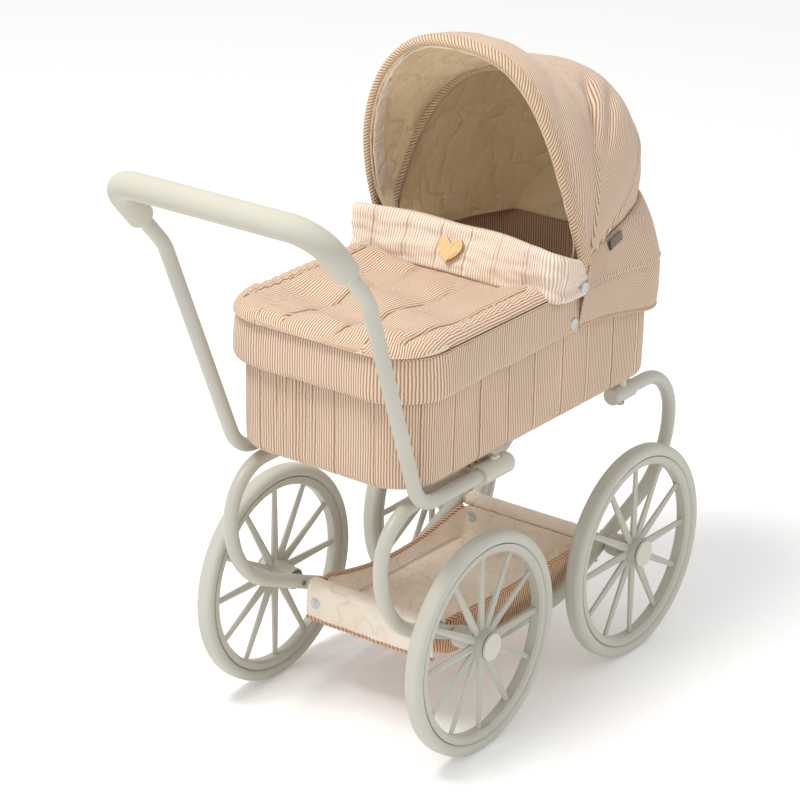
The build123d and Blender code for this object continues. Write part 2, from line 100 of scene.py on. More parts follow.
# %% [markdown]
# ## The studio
# A pale floor and a bright even surround, with one large soft lamp from the upper left and a weaker
# one from the right. The soft lamp gives the tubes their long highlight and a shadow on the right.
# The floor is only there to stand on and isn't part of the pram.

# %% Floor, surround and lamps
floor_size = 30.0
bpy.ops.mesh.primitive_plane_add(size=floor_size, location=(0, 0, 0))
floor = bpy.context.active_object
floor.name = "floor"
floor_paint = bpy.data.materials.new("pale_floor")
floor_paint.use_nodes = True
floor_shader = floor_paint.node_tree.nodes["Principled BSDF"]
floor_shader.inputs["Base Color"].default_value = (0.96, 0.96, 0.96, 1)
floor_shader.inputs["Emission Color"].default_value = (1.0, 1.0, 1.0, 1)
floor_shader.inputs["Emission Strength"].default_value = 0.12
floor_shader.inputs["Roughness"].default_value = 0.9
floor_shader.inputs["Specular IOR Level"].default_value = 0.1
floor.data.materials.append(floor_paint)

surround = bpy.data.worlds.new("white_room")
surround.use_nodes = True
sky = surround.node_tree.nodes["Background"]
sky.inputs["Color"].default_value = (1.0, 1.0, 1.0, 1)
sky.inputs["Strength"].default_value = 0.7
bpy.context.scene.world = surround


def soft_lamp(name, place, power, size, colour):
    """A square area lamp that points at the carrycot."""
    lamp = bpy.data.lights.new(name, "AREA")
    lamp.energy = power
    lamp.size = size
    lamp.color = colour
    lamp_object = bpy.data.objects.new(name, lamp)
    bpy.context.scene.collection.objects.link(lamp_object)
    lamp_object.location = place
    toward = aim - Vector(place)
    lamp_object.rotation_euler = toward.to_track_quat("-Z", "Y").to_euler()
    return lamp_object


soft_lamp("key_lamp", (-0.45, -1.15, 2.9), 58.0, 0.9, (1.0, 0.98, 0.95))
soft_lamp("fill_lamp", (2.4, 0.6, 1.4), 3.0, 1.6, (1.0, 1.0, 1.0))
print("lamps", [light.name for light in bpy.data.lights])

# %% [markdown]
# ## Finishes
# Each finish is a small tree of nodes on one Principled shader. A few helpers keep the trees short:
# one adds a node and wires its inputs, one gives the place that a pattern is read from, and one
# turns a value into bump. Constants that are the same all over a surface sit on the shader itself.

# %% Node helpers
CLOTH_MAP = "cloth"


def rgb(code):
    """Linear colour from a hex code in screen colour."""
    values = [int(code[i : i + 2], 16) / 255 for i in (0, 2, 4)]
    linear = [v / 12.92 if v <= 0.04045 else ((v + 0.055) / 1.055) ** 2.4 for v in values]
    return (*linear, 1.0)


class Finish:
    """A material with one Principled shader, and short calls to add nodes to it."""

    def __init__(self, name, roughness, **constants):
        self.material = bpy.data.materials.new(name)
        self.material.use_nodes = True
        self.tree = self.material.node_tree
        self.shader = self.tree.nodes["Principled BSDF"]
        self.shader.inputs["Roughness"].default_value = roughness
        for socket, value in constants.items():
            self.shader.inputs[socket.replace("_", " ")].default_value = value

    def add(self, kind, settings=(), **inputs):
        node = self.tree.nodes.new("ShaderNode" + kind)
        for key, value in dict(settings).items():
            setattr(node, key, value)
        for key, value in inputs.items():
            slot = node.inputs[int(key[1:])] if key[0] == "i" and key[1:].isdigit() else None
            slot = slot or node.inputs[key.replace("_", " ")]
            if isinstance(value, bpy.types.NodeSocket):
                self.tree.links.new(value, slot)
            else:
                slot.default_value = value
        return node.outputs[0]

    def sum(self, how, first, second=0.0):
        return self.add("Math", {"operation": how}, i0=first, i1=second)

    def ramp(self, value, stops):
        """Colour ramp, its stops given as (place, colour)."""
        node = self.tree.nodes.new("ShaderNodeValToRGB")
        while len(node.color_ramp.elements) < len(stops):
            node.color_ramp.elements.new(0.5)
        for element, (place, colour) in zip(node.color_ramp.elements, stops):
            element.position = place
            element.color = colour
        self.tree.links.new(value, node.inputs[0])
        return node.outputs[0]

    def noise(self, place, scale, detail=2.0, rough=0.5):
        return self.add("TexNoise", Vector=place, Scale=scale, Detail=detail, Roughness=rough)

    def object_place(self):
        node = self.tree.nodes.new("ShaderNodeTexCoord")
        return node.outputs["Object"]

    def cloth_place(self):
        return self.add("UVMap", {"uv_map": CLOTH_MAP})

    def colour(self, value):
        self.tree.links.new(value, self.shader.inputs["Base Color"])

    def rough(self, value):
        self.tree.links.new(value, self.shader.inputs["Roughness"])

    def bump(self, height, distance, strength=1.0):
        node = self.tree.nodes.new("ShaderNodeBump")
        node.inputs["Distance"].default_value = distance
        node.inputs["Strength"].default_value = strength
        self.tree.links.new(height, node.inputs["Height"])
        self.tree.links.new(node.outputs[0], self.shader.inputs["Normal"])

    def between(self, value, low, high, dark, light):
        """Maps a value from low..high to dark..light."""
        node = self.tree.nodes.new("ShaderNodeMapRange")
        for slot, number in zip((1, 2, 3, 4), (low, high, dark, light)):
            node.inputs[slot].default_value = number
        self.tree.links.new(value, node.inputs[0])
        return node.outputs[0]

    def mix(self, share, first, second, how="MIX"):
        node = self.tree.nodes.new("ShaderNodeMix")
        node.data_type = "RGBA"
        node.blend_type = how
        for slot, value in zip((0, 6, 7), (share, first, second)):
            if isinstance(value, bpy.types.NodeSocket):
                self.tree.links.new(value, node.inputs[slot])
            else:
                node.inputs[slot].default_value = value
        return node.outputs[2]


# %% [markdown]
# ### Striped cotton
# The cover is a fine ribbed cotton: narrow raised cream ribs between darker rose-tan ones. The
# stripe runs along the thread, so it is read from a map that every cloth piece carries, in metres:
# the first value counts across the ribs and the second along them. A wave of the first value, bent
# a little by noise, picks the colour. The same wave and a fine cross thread make the bump.

# %% Striped cotton
RIB = 0.0028


def striped_cotton(name, cream, tan, rib=RIB, cream_share=0.5):
    made = Finish(name, 0.82, Sheen_Weight=0.25, Sheen_Roughness=0.45, Specular_IOR_Level=0.25)
    cloth = made.cloth_place()
    parts = made.tree.nodes.new("ShaderNodeSeparateXYZ")
    made.tree.links.new(cloth, parts.inputs[0])
    across, along = parts.outputs[0], parts.outputs[1]
    wobble = made.sum("MULTIPLY", made.noise(cloth, 120.0, 2.0), 0.0011)
    turn = made.sum("MULTIPLY", made.sum("ADD", across, wobble), 2 * math.pi / rib)
    wave = made.sum("SINE", turn)
    height = made.sum("MULTIPLY_ADD", wave, 0.5)
    height.node.inputs[2].default_value = 0.5
    worn = made.noise(made.object_place(), 9.0, 3.0)
    stripes = made.ramp(
        height,
        [(0.5 - cream_share * 0.45, rgb(tan)), (0.62 - cream_share * 0.1, rgb(cream))],
    )
    patchy = made.between(worn, 0.3, 0.7, 0.94, 1.03)
    shade = made.add("CombineXYZ", X=patchy, Y=patchy, Z=patchy)
    threads = made.sum("MULTIPLY", along, 2 * math.pi / 0.0011)
    cross = made.sum("MULTIPLY", made.sum("SINE", threads), 0.16)
    made.colour(made.mix(1.0, stripes, shade, "MULTIPLY"))
    made.bump(made.sum("ADD", height, cross), 0.0005, 0.8)
    return made.material


cover_cotton = striped_cotton("striped_cotton", "E9D4BE", "B08869")
# The flap's copy is a lighter tint of the cover's cotton with a larger cream share: painted light for the
# stronger light that falls on the flap.
lit_flap_cotton = striped_cotton("striped_cotton_flap_painted_light", "F8EBDD", "D2B59A", cream_share=0.8)
basket_cotton = striped_cotton("striped_cotton_basket", "E6C6A2", "A86A44", rib=0.0036)
binding_cotton = striped_cotton("striped_cotton_binding", "E3CBB0", "A98566", rib=0.0030)

# %% [markdown]
# ### Plain lining
# The hood and basket are lined with thin plain cotton, the colour of unbleached cloth. It creases
# rather than folds, so its bump has a wandering crease pattern over a fine weave.

# %% Plain lining


def plain_cotton(name, light, dark):
    made = Finish(name, 0.75, Sheen_Weight=0.2, Sheen_Roughness=0.5, Specular_IOR_Level=0.2)
    place = made.object_place()
    soft = made.noise(place, 14.0, 3.0)
    made.colour(made.ramp(soft, [(0.25, rgb(dark)), (0.75, rgb(light))]))
    ridges = made.sum("ABSOLUTE", made.sum("SUBTRACT", made.noise(place, 22.0, 3.0, 0.55), 0.5))
    crease = made.sum("MULTIPLY", made.sum("SQRT", ridges), 2.2)
    weave = made.sum("MULTIPLY", made.noise(place, 1500.0, 1.0), 0.05)
    made.bump(made.sum("ADD", crease, weave), 0.0045, 0.6)
    return made.material


lining_cotton = plain_cotton("plain_lining", "F8E7C8", "E8D2AC")
# The mattress takes a darker copy of the plain lining: the darkening is partly the pad's own tone and partly
# painted shade for the mattress deep in the tub.
shaded_mattress_cotton = plain_cotton("shaded_mattress_cotton", "CDB6A0", "B79C84")
basket_lining = plain_cotton("basket_lining", "FAF0E2", "E9DAC6")

# %% [markdown]
# ### Paint, moulded plastic and foam
# The tubes are powder coated in a warm grey-green. The coat is slightly orange-peeled, so it has a
# small soft bump and a roughness that varies. The wheels are moulded in the same colour with a
# finer, duller skin, and the tyres and the grip are foam: the dullest, with pores.

# %% Paint, plastic, foam


def coated(name, light, dark, roughness, grain, depth, coat=0.0):
    made = Finish(name, roughness, Coat_Weight=coat, Coat_Roughness=0.25)
    place = made.object_place()
    cloudy = made.noise(place, 6.0, 3.0)
    made.colour(made.ramp(cloudy, [(0.3, rgb(dark)), (0.7, rgb(light))]))
    fine = made.noise(place, grain, 2.0)
    made.rough(made.between(fine, 0.3, 0.7, roughness - 0.06, roughness + 0.08))
    made.bump(fine, depth, 0.6)
    return made.material


frame_paint = coated("powder_coat", "C4C2B6", "BBB9AC", 0.4, 900.0, 0.0001, 0.12)
wheel_plastic = coated("wheel_plastic", "C1BFB3", "B8B6A9", 0.46, 700.0, 0.00012)
tyre_foam = coated("tyre_foam", "C5C4B9", "BCBBAF", 0.62, 1400.0, 0.0002)
grip_foam = coated("grip_foam", "CBC8BA", "C2BFB0", 0.78, 2200.0, 0.0004)
collar_plastic = coated("collar_plastic", "CFCBBB", "C7C2B1", 0.42, 800.0, 0.0001)
button_plastic = coated("button_plastic", "E4E2D8", "DDDBD0", 0.35, 900.0, 0.00008)
cap_plastic = coated("cap_plastic", "CECCBF", "C5C3B5", 0.4, 900.0, 0.00008)
board_fibre = coated("board_fibre", "A58D6E", "8F7857", 0.8, 300.0, 0.0003)


# %% [markdown]
# ### Metal, pearl studs, wood and the label
# The screws, axles and bows are plain zinc-plated steel. The press studs have a pearly blue-grey
# cap. The heart is pale wood with a grain that runs up it and a burnt edge. The label is a woven
# tag without any lettering.

# %% Metal, stud, wood, label


def plated_steel():
    made = Finish("zinc_steel", 0.35, Metallic=0.9)
    rubbed = made.noise(made.object_place(), 160.0, 3.0)
    made.colour(made.ramp(rubbed, [(0.3, rgb("8E8A80")), (0.7, rgb("B9B5A9"))]))
    made.rough(made.between(rubbed, 0.3, 0.7, 0.28, 0.5))
    return made.material


def pearl_stud():
    made = Finish("pearl_stud", 0.25, Coat_Weight=0.6, Coat_Roughness=0.12, Sheen_Weight=0.1)
    mottled = made.noise(made.object_place(), 260.0, 2.0)
    made.colour(made.ramp(mottled, [(0.35, rgb("B7C0BF")), (0.65, rgb("CBD2CF"))]))
    return made.material


def pale_wood():
    made = Finish("pale_wood", 0.55, Specular_IOR_Level=0.35)
    place = made.object_place()
    stretched = made.add("Mapping", Vector=place, Scale=(900.0, 900.0, 90.0))
    grain = made.noise(stretched, 1.0, 3.0, 0.6)
    made.colour(made.ramp(grain, [(0.3, rgb("D9B076")), (0.7, rgb("EFD3A0"))]))
    made.bump(grain, 0.0001, 0.5)
    return made.material


def burnt_wood():
    made = Finish("burnt_edge", 0.7)
    scorched = made.noise(made.object_place(), 700.0, 2.0)
    made.colour(made.ramp(scorched, [(0.3, rgb("8A6536")), (0.7, rgb("A98247"))]))
    return made.material


def woven_label(name, light, dark):
    made = Finish(name, 0.8, Sheen_Weight=0.2)
    place = made.object_place()
    threads = made.add("TexWave", Vector=place, Scale=900.0, Distortion=0.6, Detail=1.0)
    made.colour(made.ramp(threads.node.outputs[1], [(0.2, rgb(dark)), (0.8, rgb(light))]))
    made.bump(threads.node.outputs[1], 0.0001, 0.6)
    return made.material


zinc_steel = plated_steel()
pearl = pearl_stud()
heart_wood = pale_wood()
heart_edge = burnt_wood()
label_cloth = woven_label("woven_label", "7D6E60", "5E5146")
label_end_cloth = woven_label("woven_label_end", "3A2F28", "2A211C")
print("finishes", len(bpy.data.materials))

# %% [markdown]
# ## Finishing the carried-over parts
# Each hard part already has its final shape, so it only takes its finish. The first name that a
# part's own name starts with decides which.

# %% Finishes on the hard parts
part_finishes = {
    "side_frame": frame_paint,
    "handle_tube": frame_paint,
    "handle_grip": grip_foam,
    "rear_collar": collar_plastic,
    "front_sleeve": frame_paint,
    "lock_button": button_plastic,
    "wheel": wheel_plastic,
    "tyre": tyre_foam,
    "hub_cap": cap_plastic,
    "hub_bush": collar_plastic,
    "axle_sleeve": frame_paint,
    "axle_rod": zinc_steel,
    "axle_washers": zinc_steel,
    "axle_clips": zinc_steel,
    "axle_screws": zinc_steel,
    "collar_screws": zinc_steel,
    "cot_bolts": zinc_steel,
    "cot_pegs": collar_plastic,
    "cot_ring": collar_plastic,
    "hinge_plate": collar_plastic,
    "hood_front_bow": zinc_steel,
    "hood_mid_bow": zinc_steel,
    "floor_board": board_fibre,
    "basket_snaps": pearl,
}
dressed = 0
for node_name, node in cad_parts.items():
    chosen = [m for start, m in part_finishes.items() if node_name.startswith(start)]
    if chosen:
        node.data.materials.clear()
        node.data.materials.append(chosen[0])
        dressed += 1
print("hard parts finished", dressed)

# %% [markdown]
# ## Sewing helpers
# A sewn piece starts as a grid of points, given in millimetres from the middle of the wheelbase,
# because that is how a pattern cutter would note it. `cloth` turns the grid into a mesh and gives
# it the thread map. `thicken` makes the cloth solid with a Solidify modifier that is applied at
# once. `wander` is a smooth value that wanders over space, for everything that isn't quite even.

# %% Sewing helpers
MM = 0.001


def to_frame(points):
    """Millimetres from the middle of the wheelbase to metres in the frame."""
    moved = np.array(points, float) * MM
    moved[..., 1] += middle_y
    return moved


def from_frame(corner):
    return np.array([corner.x, corner.y - middle_y, corner.z]) / MM


def cloth(name, points, thread, loop=False, finishes=(), finish_rows=None):
    """Mesh of a grid of points in millimetres, with its thread map, also in millimetres."""
    rows, cols = points.shape[:2]
    last = cols if loop else cols - 1
    row, col = np.meshgrid(np.arange(rows - 1), np.arange(last), indexing="ij")
    row, col = row.ravel(), col.ravel()
    after = (col + 1) % cols
    faces = np.stack(
        [row * cols + col, row * cols + after, (row + 1) * cols + after, (row + 1) * cols + col], 1
    )
    mesh = bpy.data.meshes.new(name)
    mesh.from_pydata(to_frame(points).reshape(-1, 3).tolist(), [], faces.tolist())
    uv = mesh.uv_layers.new(name=CLOTH_MAP)
    corner_threads = np.stack(
        [thread[row, col], thread[row, col + 1], thread[row + 1, col + 1], thread[row + 1, col]], 1
    )
    uv.data.foreach_set("uv", (corner_threads * MM).astype(np.float32).ravel())
    for finish in finishes:
        mesh.materials.append(finish)
    if finish_rows is not None:
        mesh.polygons.foreach_set("material_index", np.array(finish_rows)[row].astype(np.int32))
    piece = bpy.data.objects.new(name, mesh)
    bpy.context.scene.collection.objects.link(piece)
    smooth_faces(piece)
    mesh.update()
    return piece


def smooth_faces(piece):
    piece.data.polygons.foreach_set("use_smooth", np.ones(len(piece.data.polygons), bool))


def tidy_mesh(piece):
    """Merges points that coincide and turns all faces outwards."""
    work = bmesh.new()
    work.from_mesh(piece.data)
    bmesh.ops.remove_doubles(work, verts=work.verts, dist=0.00002)
    bmesh.ops.recalc_face_normals(work, faces=work.faces)
    work.to_mesh(piece.data)
    work.free()


def apply_all(piece):
    bpy.ops.object.select_all(action="DESELECT")
    bpy.context.view_layer.objects.active = piece
    piece.select_set(True)
    for modifier in list(piece.modifiers):
        bpy.ops.object.modifier_apply(modifier=modifier.name)
    piece.select_set(False)


def thicken(piece, thickness):
    """Gives a sheet its thickness in millimetres, half of it to each side."""
    solid = piece.modifiers.new("thickness", "SOLIDIFY")
    solid.thickness = thickness * MM
    solid.offset = 0.0
    solid.use_even_offset = False
    apply_all(piece)
    return piece


def grid_area(points):
    """Area in square metres of a grid of points in millimetres."""
    near, far = points[:-1, :-1], points[1:, 1:]
    down, along = points[1:, :-1], points[:-1, 1:]
    halves = np.linalg.norm(np.cross(down - near, along - near), axis=-1)
    halves = halves + np.linalg.norm(np.cross(down - far, along - far), axis=-1)
    return float(halves.sum() / 2) * MM * MM


def run_length(points):
    """Distance along a line of points, starting at 0."""
    steps = np.linalg.norm(np.diff(points, axis=0), axis=1)
    return np.concatenate([[0.0], np.cumsum(steps)])


def wander(points, size, seed, waves=7):
    """Smooth value between about -1 and 1 that wanders over space, size millimetres a hill."""
    luck = np.random.default_rng(seed)
    total = 0.0
    for _ in range(waves):
        way = luck.normal(size=3)
        way /= np.linalg.norm(way)
        pace = 2 * math.pi / (size * luck.uniform(1.0, 2.2))
        total = total + np.sin(points @ way * pace + luck.uniform(0, 2 * math.pi))
    return total / (waves * 0.55)


def step(value, start, end):
    """0 before start, 1 after end, smooth between them."""
    share = np.clip((value - start) / (end - start), 0, 1)
    return share * share * (3 - 2 * share)


def count(piece):
    print(piece.name, "faces", len(piece.data.polygons))


# %% [markdown]
# ## The carrycot's walls
# The tub is one padded skin that runs up the outside, rolls over a stiff ring and goes down inside,
# with upright stripes on both faces. Its plan is a rectangle with round corners, so every row of
# the grid is that outline at a height and an inset. The outside has upright seams about every
# forty millimetres, and the rear wall has fan-like pleats where the cloth is eased in.

# %% Tub outline
cot_low, cot_high = (from_frame(c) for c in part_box("cot_shell"))
cot_half = cot_high[0]
cot_rear, cot_front = cot_low[1], cot_high[1]
cot_base, cot_top = cot_low[2], cot_high[2]
cot_corner = 45.0


def tub_outline(inset, total):
    """Points round the tub's plan, clockwise from the middle of the head end, with the outward
    direction at each, the distance walked along the uninset outline and its whole length."""
    half, rear, front, corner = cot_half, cot_rear, cot_front, cot_corner
    long_run = (front - rear) - 2 * corner
    short_run = 2 * (half - corner)
    bend = math.pi / 2 * corner
    legs = [short_run / 2, bend, long_run, bend, short_run, bend, long_run, bend, short_run / 2]
    whole = sum(legs)
    walked = np.linspace(0, whole, total, endpoint=False)
    centres = [(1, 1), (1, -1), (-1, -1), (-1, 1)]
    places = np.zeros((total, 2))
    outward = np.zeros((total, 2))
    marks = np.concatenate([[0], np.cumsum(legs)])
    for leg in range(len(legs)):
        inside = (walked >= marks[leg]) & (walked <= marks[leg + 1])
        gone = walked[inside] - marks[leg]
        if leg % 2 == 0:
            turn = leg // 2
            angle = math.pi / 2 - turn * math.pi / 2
            out = np.array([math.cos(angle), math.sin(angle)])
            ahead = np.array([out[1], -out[0]])
            reach = half if turn in (1, 3) else (front - rear) / 2
            across = half if turn in (0, 2, 4) else (front - rear) / 2
            begin = 0.0 if leg == 0 else -(across - corner)
            flat = out * reach + np.outer(begin + gone, ahead)
            places[inside] = flat
            outward[inside] = out
        else:
            sx, sy = centres[leg // 2]
            angle = math.pi / 2 - (leg // 2) * math.pi / 2 - gone / corner
            out = np.stack([np.cos(angle), np.sin(angle)], 1)
            centre = np.array([sx * (half - corner), sy * ((front - rear) / 2 - corner)])
            places[inside] = centre + out * corner
            outward[inside] = out
    places[:, 1] += (front + rear) / 2
    return places - outward * inset, outward, walked, whole


# %% Carrycot walls
WALL_COLUMNS = 720
wall_line, wall_out, wall_walked, wall_round = tub_outline(0.0, WALL_COLUMNS)
seam_gap = wall_round / 27
seam_width, seam_depth = 1.6, 2.0
pleat_start, pleat_end, pleat_pitch = -60.0, 12.0, 12.0
fan_centre, fan_spread = -24.0, 0.25
print("tub", round(wall_round), "mm round, seams every", round(seam_gap, 1), "mm")


def wall_relief(height_share):
    """How far the outer wall stands out at each column, for seams, pleats and padding."""
    phase = (wall_walked / seam_gap) % 1.0
    seam = np.exp(-((np.minimum(phase, 1 - phase) * seam_gap / seam_width) ** 2))
    spots = np.column_stack([wall_line, 0 * wall_walked + 90 * height_share])
    drift = wander(spots, 95, 4)
    at_foot = (wall_line[:, 1] < cot_rear + 3).astype(float)
    fan = wall_line[:, 0] + (wall_line[:, 0] - fan_centre) * fan_spread * height_share
    begun, ended = step(fan, pleat_start, pleat_start + 12), step(fan, pleat_end - 8, pleat_end)
    pleats = at_foot * begun * (1 - ended)
    pleat_depth = 1.2 + 3.4 * height_share
    ripple = pleats * (1 - np.abs(np.sin(fan * math.pi / pleat_pitch))) * pleat_depth
    return -seam_depth * seam + 1.3 * drift * math.sin(math.pi * min(1, height_share + 0.05)) - ripple


def cot_rows():
    """(inset, height, share of the outer wall or None) for each row of the tub's skin: under the
    floor, round the foot, up the wall, over the rim, down inside and across the floor."""
    foot = 9
    rim_z = cot_top - 6
    stand_out = 1.6
    wall = 9.6
    floor_z = cot_base + 6.4
    rows = [(cot_half * s, cot_base + 1.2 * (1 - s), None) for s in (0.98, 0.7, 0.4, 0.15)]
    for turn in np.linspace(0, math.pi / 2, 7):
        rows.append((foot - foot * math.sin(turn), cot_base + foot - foot * math.cos(turn), 0.0))
    for share in np.linspace(0.04, 1, 34):
        rows.append((-stand_out * share, cot_base + foot + (rim_z - cot_base - foot) * share, share))
    for turn in np.linspace(0.12, math.pi - 0.02, 13):
        rows.append((4.0 - 5.6 * math.cos(turn), rim_z + 7.4 * math.sin(turn) ** 0.4, None))
    for share in np.linspace(0.05, 1, 18):
        rows.append((wall, rim_z - (rim_z - floor_z - 0.1) * share, None))
    rows += [(cot_half * s, floor_z, None) for s in (0.3, 0.6, 0.98)]
    return rows


def cot_body():
    rows = cot_rows()
    points = np.zeros((len(rows), WALL_COLUMNS, 3))
    for index, (inset, height, share) in enumerate(rows):
        shrink = min(inset, cot_corner - 2)
        rest = max(0.0, inset - shrink)
        line = wall_line - wall_out * shrink
        scale = 1 - rest / (cot_half - cot_corner + 2)
        centre = np.array([0.0, (cot_front + cot_rear) / 2])
        flat = centre + (line - centre) * np.array([scale, 1 - (1 - scale) * 0.35])
        relief = wall_relief(share) if share is not None else 0.0
        flat = flat + wall_out * (np.asarray(relief) * np.ones(WALL_COLUMNS))[:, None]
        points[index, :, :2] = flat
        points[index, :, 2] = height
    heights = run_length(points[:, 0])
    across = np.concatenate([wall_walked, [wall_round]])
    thread = np.stack(np.broadcast_arrays(across[None, :], heights[:, None]), -1)
    piece = cloth("cot_body", points, thread, loop=True, finishes=[cover_cotton])
    close_ends(piece)
    tidy_mesh(piece)
    return piece


def close_ends(piece):
    """Fills the small holes left at the middle of the first and last rows."""
    work = bmesh.new()
    work.from_mesh(piece.data)
    open_edges = [e for e in work.edges if e.is_boundary]
    bmesh.ops.holes_fill(work, edges=open_edges, sides=0)
    work.to_mesh(piece.data)
    work.free()


cot = cot_body()
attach(cot, "chassis")
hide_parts("cot_shell", "cot_lining")
count(cot)

# %% [markdown]
# ## Padding that swells
# A pad is blown up like a real one: a copy of a slightly smaller shape is remeshed to even cells,
# given cloth with a little pressure inside and no gravity, and run for twenty frames. Each point's
# travel is capped, so that the pad stays in its place. The result is applied and smoothed once.

# %% Pad simulation


def swell(piece, pressure, cap, voxel=0.005):
    remesh = piece.modifiers.new("even_cells", "REMESH")
    remesh.mode = "VOXEL"
    remesh.voxel_size = voxel
    apply_all(piece)
    before = np.array([v.co for v in piece.data.vertices])
    soft = piece.modifiers.new("pad_cloth", "CLOTH")
    soft.settings.use_pressure = True
    soft.settings.uniform_pressure_force = pressure
    soft.settings.effector_weights.gravity = 0.0
    last_moment = 20
    soft.point_cache.frame_start = 1
    soft.point_cache.frame_end = last_moment
    for moment in range(1, last_moment + 1):
        bpy.context.scene.frame_set(moment)
    apply_all(piece)
    bpy.context.scene.frame_set(1)
    after = np.array([v.co for v in piece.data.vertices])
    moved = after - before
    travel = np.linalg.norm(moved, axis=1, keepdims=True)
    held = before + moved * np.minimum(1, cap * MM / np.maximum(travel, 1e-9))
    piece.data.vertices.foreach_set("co", held.astype(np.float32).ravel())
    smooth = piece.modifiers.new("smooth", "SUBSURF")
    smooth.levels = smooth.render_levels = 1
    apply_all(piece)
    smooth_faces(piece)
    return piece


# %% [markdown]
# ## The mattress
# A thin pad that fills the tub's floor. A rounded block is cut to the plan and swollen by the
# simulation, which crowns it and pulls its edge in.

# %% Mattress
mattress_low, mattress_high = (from_frame(c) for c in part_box("mattress"))


def mattress_pad():
    total = 160
    round_limit = 43.0
    drawn_in = np.array([0.45, 0.8])
    thick = mattress_high[2] - mattress_low[2]
    insets = [60, 30, 14, 11.5, 11, 11.5, 14, 30, 60]
    shares = [0.02, 0.02, 0.02, 0.2, 0.5, 0.75, 0.95, 0.95, 0.95]
    rows = []
    for inset, share in zip(insets, shares):
        line = tub_outline(min(inset, round_limit), total)[0]
        if inset > round_limit:
            line = line * drawn_in
        rows.append(np.column_stack([line, np.full(total, mattress_low[2] + thick * share)]))
    points = np.array(rows)
    thread = np.zeros((len(rows), total + 1, 2))
    # The pad takes the darker copy of the lining, partly painted shade.
    pad = cloth("mattress_pad", points, thread, loop=True, finishes=[shaded_mattress_cotton])
    close_ends(pad)
    tidy_mesh(pad)
    return swell(pad, 3.0, 4.0)


mattress = mattress_pad()
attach(mattress, "chassis")
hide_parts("mattress")
count(mattress)

# %% [markdown]
# ## The apron
# The apron covers the foot half of the tub. Its top is quilted: four lengthwise seams make three
# wide soft panels and two narrow gathered strips at the sides. The cloth rests on the tub's rim all
# round and sags between, so the height is highest over the rim. It is worked out point by point,
# because seams this narrow would be lost in a simulation's cells.

# %% Apron outline
apron_low, apron_high = (from_frame(c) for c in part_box("apron"))
apron_over = 8.5
piping_z = cot_top - 2
apron_front = apron_high[1] + 20
apron_rear = cot_rear - 14
quilt_half = 125.0
long_seams = (-93.0, -31.0, 31.0, 93.0)
print("apron", round(apron_front - apron_rear), "mm long, seams at", long_seams)


def apron_height(x, y):
    """Height of the quilted top over a point of the plan."""
    edge = np.minimum(cot_half + apron_over - np.abs(x), y - apron_rear)
    corner_x = np.maximum(np.abs(x) - (cot_half - cot_corner), 0)
    corner_y = np.maximum((cot_rear + cot_corner) - y, 0)
    in_corner = (corner_x > 0) & (corner_y > 0)
    edge = np.where(in_corner, cot_corner + apron_over + 3 - np.hypot(corner_x, corner_y), edge)
    edge = np.maximum(edge, 0)
    shoulder = 10 * (1 - (1 - np.minimum(edge / 13.0, 1)) ** 2.2)
    inner = step(edge, 14, 62)
    sag = -10.5 * inner - 5 * step(y, -130, -35) * step(edge, 0, 30)
    flat = np.stack([x, y, 0 * x], -1)
    puff = np.zeros_like(x)
    seam = np.zeros_like(x)
    drift = 2.2 * np.sin(y / 47.0)
    bounds = (-quilt_half, *long_seams, quilt_half)
    for left, right_side in zip(bounds[:-1], bounds[1:]):
        share = (x + drift - left) / (right_side - left)
        wide = right_side - left > 50
        inside = (share > 0) & (share < 1)
        crown = np.clip(4 * share * (1 - share), 0, 1) ** 0.45
        puff = np.where(inside, crown * (6.5 if wide else 3.6), puff)
    for line in long_seams:
        seam = np.maximum(seam, np.exp(-(((x + drift - line) / 1.7) ** 2)))
    wave_height = np.where(x < long_seams[1], 4.2, 2.0)
    waves = wave_height * np.sin((y + 0.35 * x) / 12.5 + 1.1 * wander(flat, 110, 8))
    at_sides = np.abs(x) > long_seams[-1]
    side_gather = 0.8 * np.sin(y / 1.9 + 2.5 * wander(flat, 50, 5)) * at_sides * step(edge, 3, 9)
    rumple = 3.0 * wander(flat, 58, 21) + 1.3 * wander(flat, 24, 22)
    padding = step(edge, 6, 26) * (puff + waves * inner + rumple)
    top = cot_top + 1.5 + shoulder + sag + padding - 3.4 * seam * step(edge, 2, 12)
    return top + side_gather


def apron_top():
    """Closed quilt: the crowned top, a rounded edge and a flat underside over the rim."""
    columns, rows = 190, 240
    share_x = np.linspace(-1, 1, columns)
    share_y = np.linspace(0, 1, rows)
    half = cot_half + apron_over
    plan_corner = cot_corner + 9
    y = apron_rear + (apron_front - apron_rear) * share_y
    depth = np.clip((apron_rear + plan_corner) - y, 0, plan_corner)
    reach = half - plan_corner + np.sqrt(np.maximum(plan_corner**2 - depth**2, 0))
    x = share_x[None, :] * reach[:, None]
    y = np.broadcast_to(y[:, None], x.shape)
    top = np.stack([x, y, apron_height(x, y)], -1)
    under = top.copy()
    under[..., 2] = cot_top + 1.0
    points = np.concatenate([top, under[::-1]])
    walked = np.array([run_length(row) for row in top])
    walked -= walked[:, -1:] / 2
    blur = 20
    window = np.ones(2 * blur + 1) / (2 * blur + 1)
    padded = np.concatenate([walked[:1].repeat(blur, 0), walked, walked[-1:].repeat(blur, 0)])
    walked = np.array([np.convolve(column, window, "valid") for column in padded.T]).T
    across = np.concatenate([walked, walked[::-1]])
    along = np.concatenate([y, y[::-1] + 900])
    thread = np.stack([across, along], -1)
    piece = cloth("apron_top", points, thread, finishes=[cover_cotton])
    stitch_sides(piece, rows, columns)
    return piece


def join_rows(work, columns, last):
    """Adds the faces between the first row of a grid and its last."""
    work.verts.ensure_lookup_table()
    for column in range(columns - 1):
        ring = (column, column + 1, last * columns + column + 1, last * columns + column)
        work.faces.new([work.verts[i] for i in ring])


